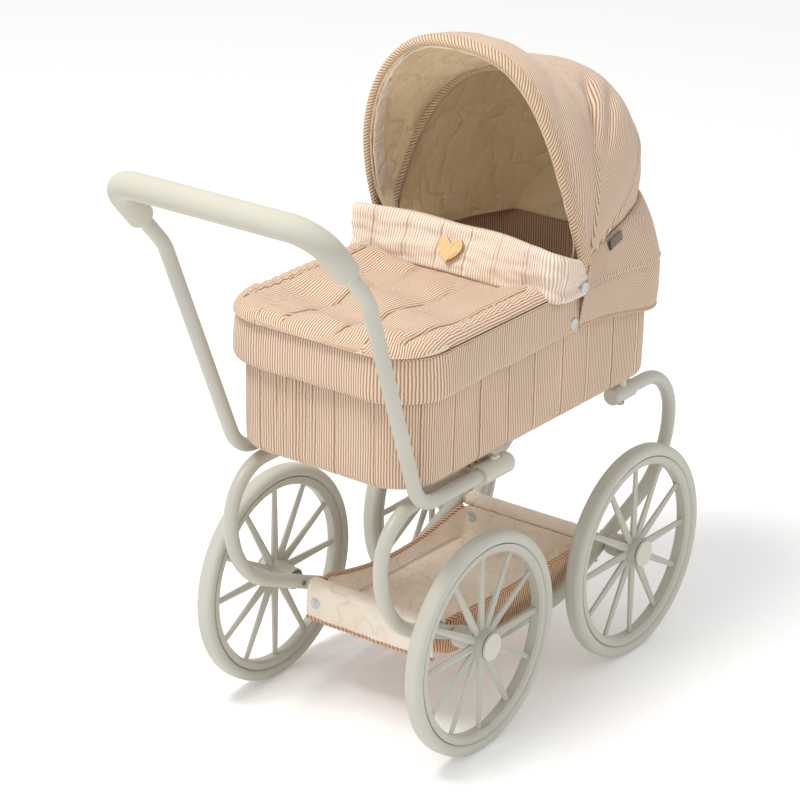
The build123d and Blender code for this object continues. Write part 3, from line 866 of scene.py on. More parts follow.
def stitch_sides(piece, rows, columns):
    """Closes a grid whose second half lies under its first."""
    work = bmesh.new()
    work.from_mesh(piece.data)
    work.verts.ensure_lookup_table()
    last = 2 * rows - 1
    for column in (0, columns - 1):
        for row in range(rows - 1):
            ring = (row, row + 1, last - row - 1, last - row)
            work.faces.new([work.verts[r * columns + column] for r in ring])
    join_rows(work, columns, last)
    bmesh.ops.remove_doubles(work, verts=work.verts, dist=0.00001)
    bmesh.ops.recalc_face_normals(work, faces=work.faces)
    for face in work.faces:
        face.smooth = True
    work.to_mesh(piece.data)
    work.free()


quilt = apron_top()
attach(quilt, "chassis")
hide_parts("apron")
count(quilt)

# %% [markdown]
# ## The apron's skirt
# A band of the same cotton hangs from the piped seam, outside the tub, from the press stud on one
# side round the foot end to the stud on the other. It stands out a little more at its hem and
# ripples slightly, with upright stripes. A double cloth, so it is modelled as a sheet and
# thickened. The piping is a thin cord in the seam above it.

# %% Skirt and piping
SKIRT_COLUMNS = 620
FINE_OUTLINE = 6000
tails_high = from_frame(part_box("apron_tails")[1])
skirt_end = tails_high[1] - 1
skirt_hem = apron_low[2]


def open_run(total, end_y):
    """Points from the right tail's end round the foot to the left tail's end, the way out at
    each and the distance walked."""
    line, out, walked, whole = tub_outline(0.0, FINE_OUTLINE)
    keep = (line[:, 1] < end_y) & (walked > 60) & (walked < whole - 60)
    line, out, walked = line[keep], out[keep], walked[keep]
    chosen = np.linspace(0, len(line) - 1, total).astype(int)
    return line[chosen], out[chosen], walked[chosen]


def rounded(from_end, radius):
    """How much a rounded corner takes off a strip's height, at a distance from its end."""
    return radius - np.sqrt(np.maximum(radius**2 - np.maximum(radius - from_end, 0) ** 2, 0))


def skirt():
    rows = 30
    base, out, walked = open_run(SKIRT_COLUMNS, skirt_end)
    points = np.zeros((rows, SKIRT_COLUMNS, 3))
    from_end = np.minimum(walked - walked[0], walked[-1] - walked)
    flat = np.column_stack([base, 0 * walked])
    for row, share in enumerate(np.linspace(0, 1, rows)):
        stand = 8.3 + 1.6 * share + 0.9 * math.sin(math.pi * share)
        ripple = (0.5 + 0.9 * share) * wander(flat, 52, 31) + 0.5 * share * np.sin(walked / 9.0)
        rolled = 1.5 * math.exp(-(((1 - share) / 0.05) ** 2))
        snug = 1 - 0.12 * np.exp(-((from_end / 26) ** 2))
        stands_out = (stand + ripple * step(from_end, 0, 25) - rolled) * snug
        points[row, :, :2] = base + out * stands_out[:, None]
        round_end = rounded(from_end, 9)
        tail_top = 4.0 * (1 - step(from_end, 0, 60))
        top, hem = piping_z - tail_top, skirt_hem + round_end
        points[row, :, 2] = top + (hem - top) * share
    down = run_length(points[:, SKIRT_COLUMNS // 2])
    thread = np.stack(np.broadcast_arrays(walked[None, :], down[:, None]), -1)
    piece = cloth("apron_skirt", points, thread, finishes=[cover_cotton])
    size = (float(walked[-1] - walked[0]) * MM, float(down[-1]) * MM)
    return thicken(piece, 1.8), size, grid_area(points)


def tube_along(name, line, radius, finish, sides=10, slope=0.75):
    """Thin round cord along a line of points in millimetres, its ribs wound round it."""
    ahead = np.gradient(line, axis=0)
    ahead /= np.linalg.norm(ahead, axis=1, keepdims=True)
    aside = np.cross(ahead, np.array([0.0, 0.0, 1.0]))
    aside /= np.maximum(np.linalg.norm(aside, axis=1, keepdims=True), 1e-6)
    over = np.cross(aside, ahead)
    turns = np.linspace(0, 2 * math.pi, sides, endpoint=False)
    points = line[:, None] + radius * (
        np.cos(turns)[None, :, None] * aside[:, None] + np.sin(turns)[None, :, None] * over[:, None]
    )
    walked = run_length(line)
    round_it = np.linspace(0, 2 * math.pi * radius, sides + 1)
    slant = walked[:, None] * slope + round_it[None, :]
    thread = np.stack([slant, walked[:, None] - round_it[None, :]], -1)
    cord = cloth(name, points, thread, loop=True, finishes=[finish])
    close_ends(cord)
    tidy_mesh(cord)
    return cord


skirt_piece, skirt_flat, skirt_area = skirt()
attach(skirt_piece, "chassis")
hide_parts("apron_tails")
skirt_area = min(skirt_area, skirt_flat[0] * skirt_flat[1])

seam_base, seam_out = open_run(500, apron_front - 6)[:2]
seam_line = np.column_stack([seam_base + seam_out * 8.6, np.full(len(seam_base), piping_z + 0.6)])
apron_piping = tube_along("apron_piping", seam_line, 1.1, binding_cotton)
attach(apron_piping, "chassis")
count(skirt_piece)
count(apron_piping)

# %% [markdown]
# ## The turned-up flap
# The apron's front edge stands up as a low padded screen across the tub and leans towards the hood.
# Its ends go round the tub's sides and are held by the upper press studs. It is sewn through with
# short seams across its height, and its stripes run the same way. The pad is a closed form whose
# two faces meet at its edges, with the seams pressed in.

# %% Flap
FLAP_COLUMNS = 420
flap_bottom = apron_high[2] - 10
flap_side_y = 39.0


def flap_path():
    """Plan of the flap's foot: from the right stud, round the corner, across and back."""
    side_x = cot_half + 13.5
    bend = 13.0
    y_across = apron_high[1] - 7
    right_leg = [(side_x, y) for y in np.linspace(flap_side_y, y_across + bend, 30)]
    angles = np.linspace(0, math.pi / 2, 30)
    hub_x, hub_y = side_x - bend, y_across + bend
    corner = [(hub_x + bend * math.cos(a), hub_y - bend * math.sin(a)) for a in angles]
    half_line = np.array(right_leg + corner[1:] + [(0.0, y_across)])
    walked = run_length(half_line)
    even = np.linspace(0, walked[-1], FLAP_COLUMNS // 2)
    right_half = np.column_stack([np.interp(even, walked, half_line[:, i]) for i in (0, 1)])
    left_half = right_half[::-1][1:] * np.array([-1, 1])
    return np.concatenate([right_half, left_half])


def flap():
    path = flap_path()
    walked = run_length(path)
    ahead = np.gradient(path, axis=0)
    ahead /= np.linalg.norm(ahead, axis=1, keepdims=True)
    out = np.column_stack([-ahead[:, 1], ahead[:, 0]])
    out *= np.sign(out[len(out) // 2, 1] * -1)
    middle = 1 - np.abs(np.linspace(-1, 1, len(path)))
    across = step(middle, 0.18, 0.45)
    side_foot_z, side_top_z = 409, 446
    low_z = side_foot_z + (flap_bottom - 411) * across + 2 * step(middle, 0.5, 1)
    high_z = side_top_z + 20 * step(middle, 0.05, 0.42) - 3 * step(middle, 0.6, 1)
    lean = 3 + 17 * step(middle, 0.3, 0.9)
    from_end = np.minimum(walked, walked[-1] - walked)
    seam_every = 37.0
    centred = walked - walked[-1] / 2
    phase = ((centred + 4 * np.sin(centred / 50)) / seam_every + 0.5) % 1.0
    seam = np.exp(-((np.minimum(phase, 1 - phase) * seam_every / 2.0) ** 2))
    layers = []
    heights = np.linspace(0, 1, 22)
    dented = step(middle, 0.1, 0.3) * (1 - step(middle, 0.45, 0.6))
    for face in (1, -1):
        for share in heights if face == 1 else heights[::-1]:
            edge = 1 - (2 * share - 1) ** 4
            z = low_z + (high_z - low_z) * share
            z = z + rounded(from_end, 10) * (1 - 2 * share)
            flat = np.column_stack([path, np.full(len(path), 300 * share)])
            soft = 1.8 * wander(flat, 62, 41) + 0.8 * wander(flat, 24, 42)
            puff = (5.2 - 3.4 * seam) * edge ** 0.6 * step(from_end, -2, 8) + soft * edge
            hollow = -2.4 * math.exp(-(((share - 0.28) / 0.16) ** 2)) * dented
            stands_out = puff + hollow if face == 1 else -puff * 0.6
            spot = path + out * stands_out[:, None]
            spot[:, 1] += lean * share
            layers.append(np.column_stack([spot, z]))
    points = np.array(layers)
    along = run_length(points[: len(heights), len(path) // 2])
    along = np.concatenate([along, along[::-1]])
    thread = np.stack(np.broadcast_arrays(walked[None, :], along[:, None]), -1)
    # The flap takes the lighter copy of the striped cotton, which is painted light.
    piece = cloth("flap_pad", points, thread, finishes=[lit_flap_cotton])
    work = bmesh.new()
    work.from_mesh(piece.data)
    join_rows(work, len(path), len(points) - 1)
    bmesh.ops.holes_fill(work, edges=[e for e in work.edges if e.is_boundary], sides=0)
    bmesh.ops.remove_doubles(work, verts=work.verts, dist=0.00002)
    bmesh.ops.recalc_face_normals(work, faces=work.faces)
    for face in work.faces:
        face.smooth = True
    work.to_mesh(piece.data)
    work.free()
    return piece, points


flap_piece, flap_points = flap()
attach(flap_piece, "chassis")
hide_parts("apron_flap")
count(flap_piece)

# %% [markdown]
# ## The wooden heart
# A blank heart cut from thin wood is sewn to the middle of the flap. A flat disc is the start: its
# rim is moved on to a heart curve, it is extruded to its thickness, and its front face is inset
# twice, which leaves a thin scorched line just inside the edge.

# %% Heart


def heart_curve(turn, size):
    x = size * math.sin(turn) * abs(math.sin(turn)) ** 0.9
    waves = ((13, 1), (-5, 2), (-2, 3), (-1, 4))
    return x, size * sum(height * math.cos(times * turn) for height, times in waves) / 16


def heart():
    bpy.ops.object.select_all(action="DESELECT")
    corners, size = 72, 13.5 * MM
    bpy.ops.mesh.primitive_circle_add(vertices=corners, radius=size, fill_type="NGON")
    piece = bpy.context.active_object
    piece.name = "wooden_heart"
    for index, vertex in enumerate(piece.data.vertices):
        x, y = heart_curve(2 * math.pi * index / corners, size)
        vertex.co = (x, y, 0)
    bpy.ops.object.mode_set(mode="EDIT")
    bpy.ops.mesh.select_all(action="SELECT")
    bpy.ops.mesh.extrude_region_move(TRANSFORM_OT_translate={"value": (0, 0, 2.0 * MM)})
    bpy.ops.mesh.inset(thickness=1.3 * MM, use_even_offset=False)
    bpy.ops.mesh.inset(thickness=0.5 * MM, depth=-0.25 * MM, use_even_offset=False)
    bpy.ops.mesh.inset(thickness=0.4 * MM, depth=0.25 * MM, use_even_offset=False)
    bpy.ops.mesh.select_all(action="SELECT")
    bpy.ops.mesh.normals_make_consistent(inside=False)
    bpy.ops.object.mode_set(mode="OBJECT")
    piece.data.materials.append(heart_wood)
    piece.data.materials.append(heart_edge)
    for face in piece.data.polygons:
        level_z = face.center.z
        in_line = 1.6 * MM < level_z < 1.97 * MM
        face.material_index = 1 if in_line or abs(face.normal.z) < 0.3 else 0
    rows = len(flap_points) // 2
    column = flap_points.shape[1] // 2
    near_middle = (rows // 2 - 5, rows // 2, rows // 2 + 5)
    low, middle, high = (to_frame(flap_points[row, column]) for row in near_middle)
    lean_up = Vector(high - low).normalized()
    facing = Vector((1, 0, 0)).cross(lean_up)
    turn = Matrix((Vector((1, 0, 0)), lean_up, facing)).transposed().to_4x4()
    piece.data.transform(Matrix.Translation(Vector(middle) + facing * 2.4 * MM) @ turn)
    piece.location = (0, 0, 0)
    return piece


heart_piece = heart()
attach(heart_piece, "chassis")
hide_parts("heart_badge")
count(heart_piece)

# %% [markdown]
# ## The press studs
# Four press studs hold the cover to the tub: one at each end of the flap, and one below it on each
# end of the skirt. A short cylinder has its edge bevelled and its face inset and dished, and is
# copied to the four places, each copy turned to face outwards.

# %% Press studs


def stud(place, side):
    """A domed press stud whose face looks to the right (1) or the left (-1)."""
    bpy.ops.object.select_all(action="DESELECT")
    bpy.ops.mesh.primitive_cylinder_add(vertices=40, radius=5.4 * MM, depth=2.6 * MM)
    piece = bpy.context.active_object
    bpy.ops.object.mode_set(mode="EDIT")
    bpy.ops.mesh.select_all(action="DESELECT")
    bpy.ops.object.mode_set(mode="OBJECT")
    for face in piece.data.polygons:
        face.select = face.normal.z > 0.9
    bpy.ops.object.mode_set(mode="EDIT")
    bpy.ops.mesh.select_mode(type="FACE")
    bpy.ops.mesh.bevel(offset=0.9 * MM, segments=3, affect="EDGES")
    bpy.ops.mesh.select_all(action="DESELECT")
    bpy.ops.object.mode_set(mode="OBJECT")
    for face in piece.data.polygons:
        face.select = face.normal.z > 0.9 and len(face.vertices) > 10
    bpy.ops.object.mode_set(mode="EDIT")
    bpy.ops.mesh.inset(thickness=0.8 * MM, depth=-0.3 * MM)
    bpy.ops.mesh.inset(thickness=1.6 * MM, depth=-0.15 * MM)
    bpy.ops.object.mode_set(mode="OBJECT")
    piece.data.transform(Matrix.Rotation(side * math.pi / 2, 4, "Y"))
    piece.data.transform(Matrix.Translation(Vector(to_frame(np.array(place)))))
    piece.data.materials.append(pearl)
    bpy.ops.object.shade_smooth_by_angle(angle=math.radians(40))
    return piece


upper_stud = (cot_half + 18.6, 25.0, 420.0)
lower_stud = (cot_half + 10.6, 21.0, 383.0)
stud_places = []
for side in (1, -1):
    for x, y, z in (upper_stud, lower_stud):
        stud_places.append(((side * x, y, z), side))
studs = [stud(place, side) for place, side in stud_places]
bpy.ops.object.select_all(action="DESELECT")
for piece in studs:
    piece.select_set(True)
bpy.context.view_layer.objects.active = studs[0]
bpy.ops.object.join()
studs[0].name = "press_studs"
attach(studs[0], "chassis")
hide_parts("cover_snaps")
count(studs[0])

# %% [markdown]
# ## The hood's shape
# Every part of the hood turns about one axis, through the pivots at the tub's sides. So a point of
# the hood is given by the angle that its arch leans at and the place along that arch. Each arch is
# a superellipse, rounder at the shoulders than an ellipse. The cloth stands proud at the front bow,
# dips behind it, rises over the head end and comes down to the band, and the radii say so.

# %% Hood surface
plate_low, plate_high = (from_frame(c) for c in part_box("hinge_plate_right"))
pivot_y = (plate_low[1] + plate_high[1]) / 2
pivot_z = 430.0
print("hood pivots at", round(float(pivot_y), 1), pivot_z)
front_angle, mid_angle = -13.0, 20.0
seam_overlap = 5.0
rim_foot_z = 415.0
hood_power = 2.5
hood_profile = [
    (-13, 123.5, 220.0),
    (-4, 124.0, 213.5),
    (6, 122.0, 197.5),
    (15, 120.0, 184.0),
    (22, 119.5, 185.0),
    (34, 118.0, 198.0),
    (50, 115.0, 211.0),
    (66, 110.5, 208.0),
    (78, 105.5, 201.0),
    (92, 101.0, 193.0),
]


def profile_at(angle, which):
    """Half-width (1) or height (2) of the arch at an angle, smooth through the sections."""
    angles = np.array([p[0] for p in hood_profile], float)
    values = np.array([p[which] for p in hood_profile], float)
    slopes = np.gradient(values, angles)
    spot = np.clip(np.searchsorted(angles, angle) - 1, 0, len(angles) - 2)
    gap = angles[spot + 1] - angles[spot]
    t = np.clip((angle - angles[spot]) / gap, 0, 1)
    a, b = values[spot], values[spot + 1]
    m, n = slopes[spot] * gap, slopes[spot + 1] * gap
    return (
        (2 * t**3 - 3 * t**2 + 1) * a + (t**3 - 2 * t**2 + t) * m
        + (3 * t**2 - 2 * t**3) * b + (t**3 - t**2) * n
    )


def hood_point(angle, turn, inset=0.0):
    """Point of the hood at an arch angle in degrees and a turn round the arch, 0 to pi."""
    half = profile_at(angle, 1) - inset
    high = profile_at(angle, 2) - inset
    cosine, sine = np.cos(turn), np.sin(turn)
    x = np.sign(cosine) * half * np.abs(cosine) ** (2 / hood_power)
    rise = high * np.abs(sine) ** (2 / hood_power)
    lean = np.radians(angle)
    swept = 9.5 * np.sin(np.clip(rise / 200, 0, 1) * math.pi) * (1 - step(angle, front_angle, 12))
    return np.stack([x, pivot_y + rise * np.sin(lean) - swept, pivot_z + rise * np.cos(lean)], -1)


def band_top(y):
    """Height of the seam between the hood and the band round the head end."""
    side_z, head_rise = 438, 20
    return side_z + head_rise * step(y, -10, 190)


def even_turns(columns):
    """Turns round an arch that space its points evenly."""
    fine = np.linspace(0, math.pi, 2000)
    line = hood_point(np.full(2000, 30.0), fine)
    walked = run_length(line)
    return np.interp(np.linspace(0, walked[-1], columns), walked, fine)


def end_angle(turn, inset=0.0):
    """Largest arch angle at each turn that is still above the band's seam, or for the lining
    above the tub's rim."""
    low, high = np.full(turn.shape, mid_angle), np.full(turn.shape, 100.0)
    for _ in range(30):
        middle = (low + high) / 2
        spot = hood_point(middle, turn, inset)
        foot = rim_foot_z if inset else band_top(spot[..., 1]) - seam_overlap
        above = spot[..., 2] > foot
        low, high = np.where(above, middle, low), np.where(above, high, middle)
    return low


def start_turn(angle, inset=0.0):
    """Turn at which the arch at an angle meets the band's seam on the right side."""
    low, high = np.zeros(angle.shape), np.full(angle.shape, 1.2)
    for _ in range(30):
        middle = (low + high) / 2
        spot = hood_point(angle, middle, inset)
        above = spot[..., 2] > band_top(spot[..., 1]) - seam_overlap
        low, high = np.where(above, low, middle), np.where(above, middle, high)
    return high


def radius_from_pivot(points):
    return np.hypot(points[..., 1] - pivot_y, points[..., 2] - pivot_z)


def tuck_in(points):
    """Draws the lining's foot in over the tub's rim, so that it hangs inside the tub."""
    tucked = points.copy()
    inside_wall = 11.5
    above_rim = np.maximum(points[..., 2] - 418, 0)
    back_limit = cot_front - inside_wall + 0.68 * above_rim
    side_limit = cot_half - inside_wall + 0.36 * above_rim
    share = step(points[..., 1], 8, 40)
    side = np.minimum(np.abs(points[..., 0]), side_limit)
    tucked[..., 0] += share * (np.sign(points[..., 0]) * side - points[..., 0])
    tucked[..., 1] = np.minimum(points[..., 1], back_limit)
    return tucked


def push_out(points, amount):
    """Moves points away from the middle of the hood by an amount in millimetres."""
    centre = np.array([0.0, pivot_y, pivot_z])
    way = points - centre
    way /= np.linalg.norm(way, axis=-1, keepdims=True)
    return points + way * amount[..., None]


# %% [markdown]
# ## The hood's skins
# The outer cloth is in two parts that meet over the middle bow. The front part spans the two
# bows, the rear part runs from the middle bow to the tub. The ribs run along the arches, so the
# thread map counts the distance round the pivot. Folds fall from the dip behind the front bow, and
# a raised seam crosses the rear.

# %% Hood skins
HOOD_COLUMNS = 380


def front_patch(rows, inset=0.0):
    angles = np.linspace(front_angle, mid_angle, rows)
    start = start_turn(angles, inset)
    even = even_turns(HOOD_COLUMNS) / math.pi
    turns = start[:, None] + (math.pi - 2 * start[:, None]) * even[None, :]
    grid_angles = np.broadcast_to(angles[:, None], turns.shape)
    return hood_point(grid_angles, turns, inset), grid_angles, turns


def rear_patch(rows, inset=0.0):
    begin = float(start_turn(np.array([mid_angle]), inset)[0])
    even = even_turns(HOOD_COLUMNS) / math.pi
    turns = begin + (math.pi - 2 * begin) * even
    last = end_angle(turns, inset)
    shares = np.linspace(0, 1, rows)
    grid_angles = mid_angle + (last - mid_angle)[None, :] * shares[:, None]
    turns = np.broadcast_to(turns[None, :], grid_angles.shape)
    return hood_point(grid_angles, turns, inset), grid_angles, turns


def bump(value, middle, width):
    """1 at the middle and soon 0 to both sides."""
    return np.exp(-(((value - middle) / width) ** 2))


def between(value, start, full, fades, gone):
    """0 before start, 1 from full to fades, 0 after gone."""
    return step(value, start, full) * (1 - step(value, fades, gone))


def hood_relief(points, angles, turns):
    """How far the outer cloth stands out or in, for folds, the bow ridge and the rear seam."""
    side = np.abs(np.cos(turns))
    slant = angles + 26 * (side - 0.35)
    bow_ridge = 2.6 * bump(angles, mid_angle, 3.0)
    rear_seam = 1.4 * bump(angles - 9 * side, 57, 1.5) - 1.2 * bump(angles - 9 * side, 54, 1.3)
    long_fold = -6.5 * bump(slant, 31, 3.6) * between(side, 0.18, 0.5, 0.72, 0.95)
    short_fold = -4.2 * bump(slant, 43, 3.2) * between(side, 0.3, 0.55, 0.7, 0.9)
    front_fold = -2.2 * bump(slant, 7, 3.5) * between(side, 0.3, 0.6, 0.8, 0.97)
    loose = 1.9 * wander(points, 70, 51) + 0.9 * wander(points, 28, 52)
    calm = step(angles, front_angle + 6, front_angle + 14)
    return bow_ridge + rear_seam + long_fold + short_fold + front_fold + loose * calm


def fan_blend(piece, front_body, rear_body, start_angle, last_angle):
    reach = 200.0
    for angle in (start_angle, last_angle):
        lean = math.radians(angle)
        spot = np.array([0.0, pivot_y + reach * math.sin(lean), pivot_z + reach * math.cos(lean)])
        tuple(to_frame(spot))
    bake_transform(piece)


def hood_skin(name, patch, rows, finish, middle_lean, inset=0.0, thickness=1.4):
    points, angles, turns = patch(rows, inset)
    if inset == 0.0:
        points = push_out(points, hood_relief(points, angles, turns))
    else:
        crease = 1 - np.abs(wander(points, 70, 61))
        amount = -1.6 * wander(points, 60, 62) - 2.2 * np.clip(crease, 0, 1) ** 5
        edge = step(angles, front_angle, front_angle + 5)
        points = tuck_in(push_out(points, amount * edge))
    across = radius_from_pivot(points) * np.radians(angles - middle_lean)
    along = np.array([run_length(row) for row in points])
    along -= along[:, -1:] / 2
    thread = np.stack([across, along], -1)
    area = grid_area(points)
    lengthways = float(along[:, -1].max() * 2) * MM
    crossways = float(run_length(points[:, HOOD_COLUMNS // 2])[-1]) * MM
    piece = cloth(name, points, thread, finishes=[finish])
    thicken(piece, thickness)
    return piece, (crossways, lengthways), area


lining_inset = 7.0
front_lean, rear_lean = 4.0, 52.0
front_bend = ("hood_front", "hood_middle", front_angle, mid_angle)
rear_bend = ("hood_middle", "chassis", mid_angle, 86.0)
for name, patch, rows, inset, stands_for in (
    ("hood_front_skin", front_patch, 90, 0.0, "hood_front_panel"),
    ("hood_rear_skin", rear_patch, 122, 0.0, "hood_back_panel"),
    ("hood_front_lining", front_patch, 60, lining_inset, None),
    ("hood_rear_lining", rear_patch, 110, lining_inset, None),
):
    finish = lining_cotton if inset else cover_cotton
    middle_lean, bend = (front_lean, front_bend) if patch is front_patch else (rear_lean, rear_bend)
    piece, flat, area = hood_skin(name, patch, rows, finish, middle_lean, inset)
    fan_blend(piece, *bend)
    if stands_for:
        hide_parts(stands_for)
    count(piece)

# %% [markdown]
# ## The hood's front binding and bow casings
# The front edge is a casing round the front bow: a band of bias-cut cotton, so its ribs run
# slantwise, rolled over the wire to the inside, where a strip of gathered lining covers it. The
# middle bow runs in a narrow casing of the same cloth inside the hood. Both are swept along an
# arch with a flattened section, and ride on their bow.

# %% Bindings


def arch_line(angle, total=260):
    """Points along the outer cloth's arch at an angle, from foot to foot."""
    turns = even_turns(total)
    start = float(start_turn(np.array([float(angle)]))[0])
    turns = start + (math.pi - 2 * start) * turns / math.pi
    return hood_point(np.full(total, float(angle)), turns)


def arch_band(name, section, angle, finish, slant, gather=0.0):
    """Closed band along an arch. The section's points are (lean in millimetres, inset)."""
    line = arch_line(angle)
    centre = np.array([0.0, pivot_y, pivot_z])
    ahead = np.gradient(line, axis=0)
    ahead /= np.linalg.norm(ahead, axis=1, keepdims=True)
    lean = math.radians(angle)
    aside = np.array([0.0, math.cos(lean), -math.sin(lean)])
    inward = np.cross(ahead, aside)
    inward *= np.sign(((centre - line) * inward).sum(-1, keepdims=True))
    walked = run_length(line)
    pucker = gather * np.abs(np.sin(walked / 7.0 + 1.5 * np.sin(walked / 31.0)))
    points = np.array(
        [line + aside * wide + inward * (deep + pucker * (deep > 3))[:, None] for wide, deep in section]
    )
    round_it = np.concatenate([[0], np.cumsum(np.linalg.norm(np.diff(section, axis=0), axis=1))])
    across = walked[None, :] * slant[0] + round_it[:, None] * slant[1]
    thread = np.stack([across, walked[None, :] * slant[1] - round_it[:, None] * slant[0]], -1)
    piece = cloth(name, points, thread, finishes=[finish])
    tidy_mesh(piece)
    close_ends(piece)
    tidy_mesh(piece)
    smooth_faces(piece)
    return piece


def rounded_section(width, low, high, total=20, start=0.0):
    """Flattened ring: width along the lean, from inset low to inset high, closed on itself."""
    turns = np.linspace(0, 2 * math.pi, total)
    middle, half = (low + high) / 2, (high - low) / 2
    flat = np.sign(np.cos(turns)) * np.abs(np.cos(turns)) ** 0.6
    tall = np.sign(np.sin(turns)) * np.abs(np.sin(turns)) ** 0.8
    return np.column_stack([start + width / 2 * flat, middle - half * tall])


bias_angle = math.radians(38)
BIAS = (math.cos(bias_angle), math.sin(bias_angle))
rolled_edge = rounded_section(14.0, -1.8, 7.2, start=4.5)
gathered_strip = rounded_section(18.0, 7.0, 10.4, start=11.0)
narrow_sleeve = rounded_section(8.0, 6.5, 15.0)
front_binding = arch_band("hood_front_binding", rolled_edge, front_angle, binding_cotton, BIAS)
front_casing = arch_band(
    "hood_front_casing", gathered_strip, front_angle, basket_lining, BIAS, gather=0.9
)
mid_casing = arch_band("hood_mid_casing", narrow_sleeve, mid_angle, binding_cotton, BIAS)
for piece in (front_binding, front_casing, mid_casing):
    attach(piece, "hood_middle" if piece is mid_casing else "hood_front")
    count(piece)

# %% [markdown]
# ## The band round the head end
# A deep band of cotton cut on the bias goes round the tub's head end, from one press stud to the
# other. Its upper edge overlaps the hood and its lower edge is bound with striped piping. The cloth
# is loose, so it bulges over the tub's rim, most at the head end. A fine piped line crosses its
# middle in a curve.

# %% Band
BAND_COLUMNS = 520
band_start = 30.0


def head_run(total):
    """Points from the right side round the head end to the left side."""
    line, out, walked, whole = tub_outline(0.0, FINE_OUTLINE)
    order = np.argsort(((walked + whole / 2) % whole))[::-1]
    line, out, walked = line[order], out[order], walked[order]
    keep = line[:, 1] > band_start
    line, out = line[keep], out[keep]
    if line[0, 0] < 0:
        line, out = line[::-1], out[::-1]
    chosen = np.linspace(0, len(line) - 1, total).astype(int)
    return line[chosen], out[chosen]


def hood_foot(total):
    """Where the band's upper edge runs: just outside the hood's foot, evenly round the head."""
    turns = np.linspace(0, math.pi, 1500)
    last = end_angle(turns)
    side_part = hood_point(last, turns)
    front_angles = np.linspace(front_angle, mid_angle, 200)
    right_edge = hood_point(front_angles, start_turn(front_angles))
    left_edge = right_edge[::-1] * np.array([-1, 1, 1])
    side_part = side_part[side_part[:, 2] > 436]
    line = np.concatenate([right_edge, side_part, left_edge])
    walked = run_length(line)
    even = np.linspace(0, walked[-1], total)
    return np.column_stack([np.interp(even, walked, line[:, i]) for i in range(3)])


def band():
    lower, out = head_run(BAND_COLUMNS)
    upper = hood_foot(BAND_COLUMNS)
    shares = np.linspace(0, 1, 46)
    middle = 1 - np.abs(np.linspace(-1, 1, BAND_COLUMNS))
    head = step(middle, 0.2, 0.85)
    hem_side_z, hem_drop = 377, 24
    hem_z = hem_side_z - hem_drop * step(middle, 0.0, 0.75)
    points = np.zeros((len(shares), BAND_COLUMNS, 3))
    top_out = np.column_stack([upper[:, :2] + out * 2.6, upper[:, 2] + 4.5])
    hem_out = np.column_stack([lower + out * (9.5 + 1.5 * head)[:, None], hem_z])
    place = np.arange(BAND_COLUMNS)
    from_end = np.minimum(place, place[::-1]) / BAND_COLUMNS
    line_at = 0.36 + 0.22 * np.sin(math.pi * middle * 0.5)
    for row, share in enumerate(shares):
        spot = top_out + (hem_out - top_out) * share
        belly = math.sin(math.pi * share**0.85) ** 0.8
        bulge = belly * (5.0 + 9.0 * head)
        rumple = 0.9 * wander(spot, 60, 71) + 0.4 * wander(spot, 22, 72)
        ridge = 1.3 * bump(share, line_at, 0.018) - 1.1 * bump(share, line_at + 0.035, 0.02)
        amount = (bulge + (rumple + ridge) * math.sin(math.pi * share)) * step(from_end, -0.01, 0.05)
        spot[:, :2] += out * amount[:, None]
        points[row] = spot
    walked = run_length(points[20])
    down = run_length(points[:, BAND_COLUMNS // 4])
    bias_run, bias_drop = 0.5, 0.87
    nearest_end = np.minimum(walked, walked[-1] - walked)
    across = nearest_end[None, :] * bias_run + down[:, None] * bias_drop
    along = walked[None, :] * bias_drop - down[:, None] * bias_run
    thread = np.stack([across, along], -1)
    piece = cloth("hood_band", points, thread, finishes=[cover_cotton])
    thicken(piece, 1.6)
    flat = (float(walked[-1]) * MM, float(down[-1]) * MM)
    return piece, points, flat, grid_area(points)


band_piece, band_points, band_flat, band_area = band()
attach(band_piece, "chassis")
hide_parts("hood_wrap")
band_hem = tube_along("band_hem", band_points[-1], 2.3, binding_cotton)
band_seam = tube_along("band_seam", band_points[0] + np.array([0, 0, 0.2]), 1.0, binding_cotton)
for piece in (band_hem, band_seam):
    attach(piece, "chassis")
count(band_piece)

# %% [markdown]
# ## The label
# A small folded woven tag is caught in the band's upper seam on the right side. It is blank, with a
# darker end. A thin block is shaped: its edges bevelled, its end faces given the darker cloth.

# %% Label


def label():
    bpy.ops.object.select_all(action="DESELECT")
    bpy.ops.mesh.primitive_cube_add(size=1)
    piece = bpy.context.active_object
    piece.name = "woven_tag"
    piece.scale = (1.4 * MM, 27.0 * MM, 10.0 * MM)
    bpy.ops.object.transform_apply(location=False, rotation=False, scale=True)
    bpy.ops.object.mode_set(mode="EDIT")
    bpy.ops.mesh.select_all(action="SELECT")
    bpy.ops.mesh.bevel(offset=0.4 * MM, segments=3, affect="EDGES")
    bpy.ops.mesh.select_all(action="SELECT")
    bpy.ops.mesh.bisect(plane_co=(0, -11.0 * MM, 0), plane_no=(0, 1, 0))
    bpy.ops.object.mode_set(mode="OBJECT")
    piece.data.materials.append(label_cloth)
    piece.data.materials.append(label_end_cloth)
    for face in piece.data.polygons:
        face.material_index = 1 if face.center.y < -11.0 * MM else 0
    column = int(np.argmin(np.abs(band_points[0, : BAND_COLUMNS // 2, 1] - 97)))
    here, there = band_points[1, column], band_points[1, column + 20]
    way = Vector(there - here).normalized()
    outward = Vector((1, 0.12, 0.1)).normalized()
    outward = (outward - way * outward.dot(way)).normalized()
    upward = outward.cross(way)
    turn = Matrix((outward, way, upward)).transposed().to_4x4()
    middle = Vector(to_frame((band_points[2, column] + band_points[4, column]) / 2)) + outward * 2.0 * MM
    piece.data.transform(Matrix.Translation(middle) @ turn)
    bpy.ops.object.shade_smooth_by_angle(angle=math.radians(40))
    return piece


tag = label()
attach(tag, "chassis")
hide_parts("label_tag")
count(tag)

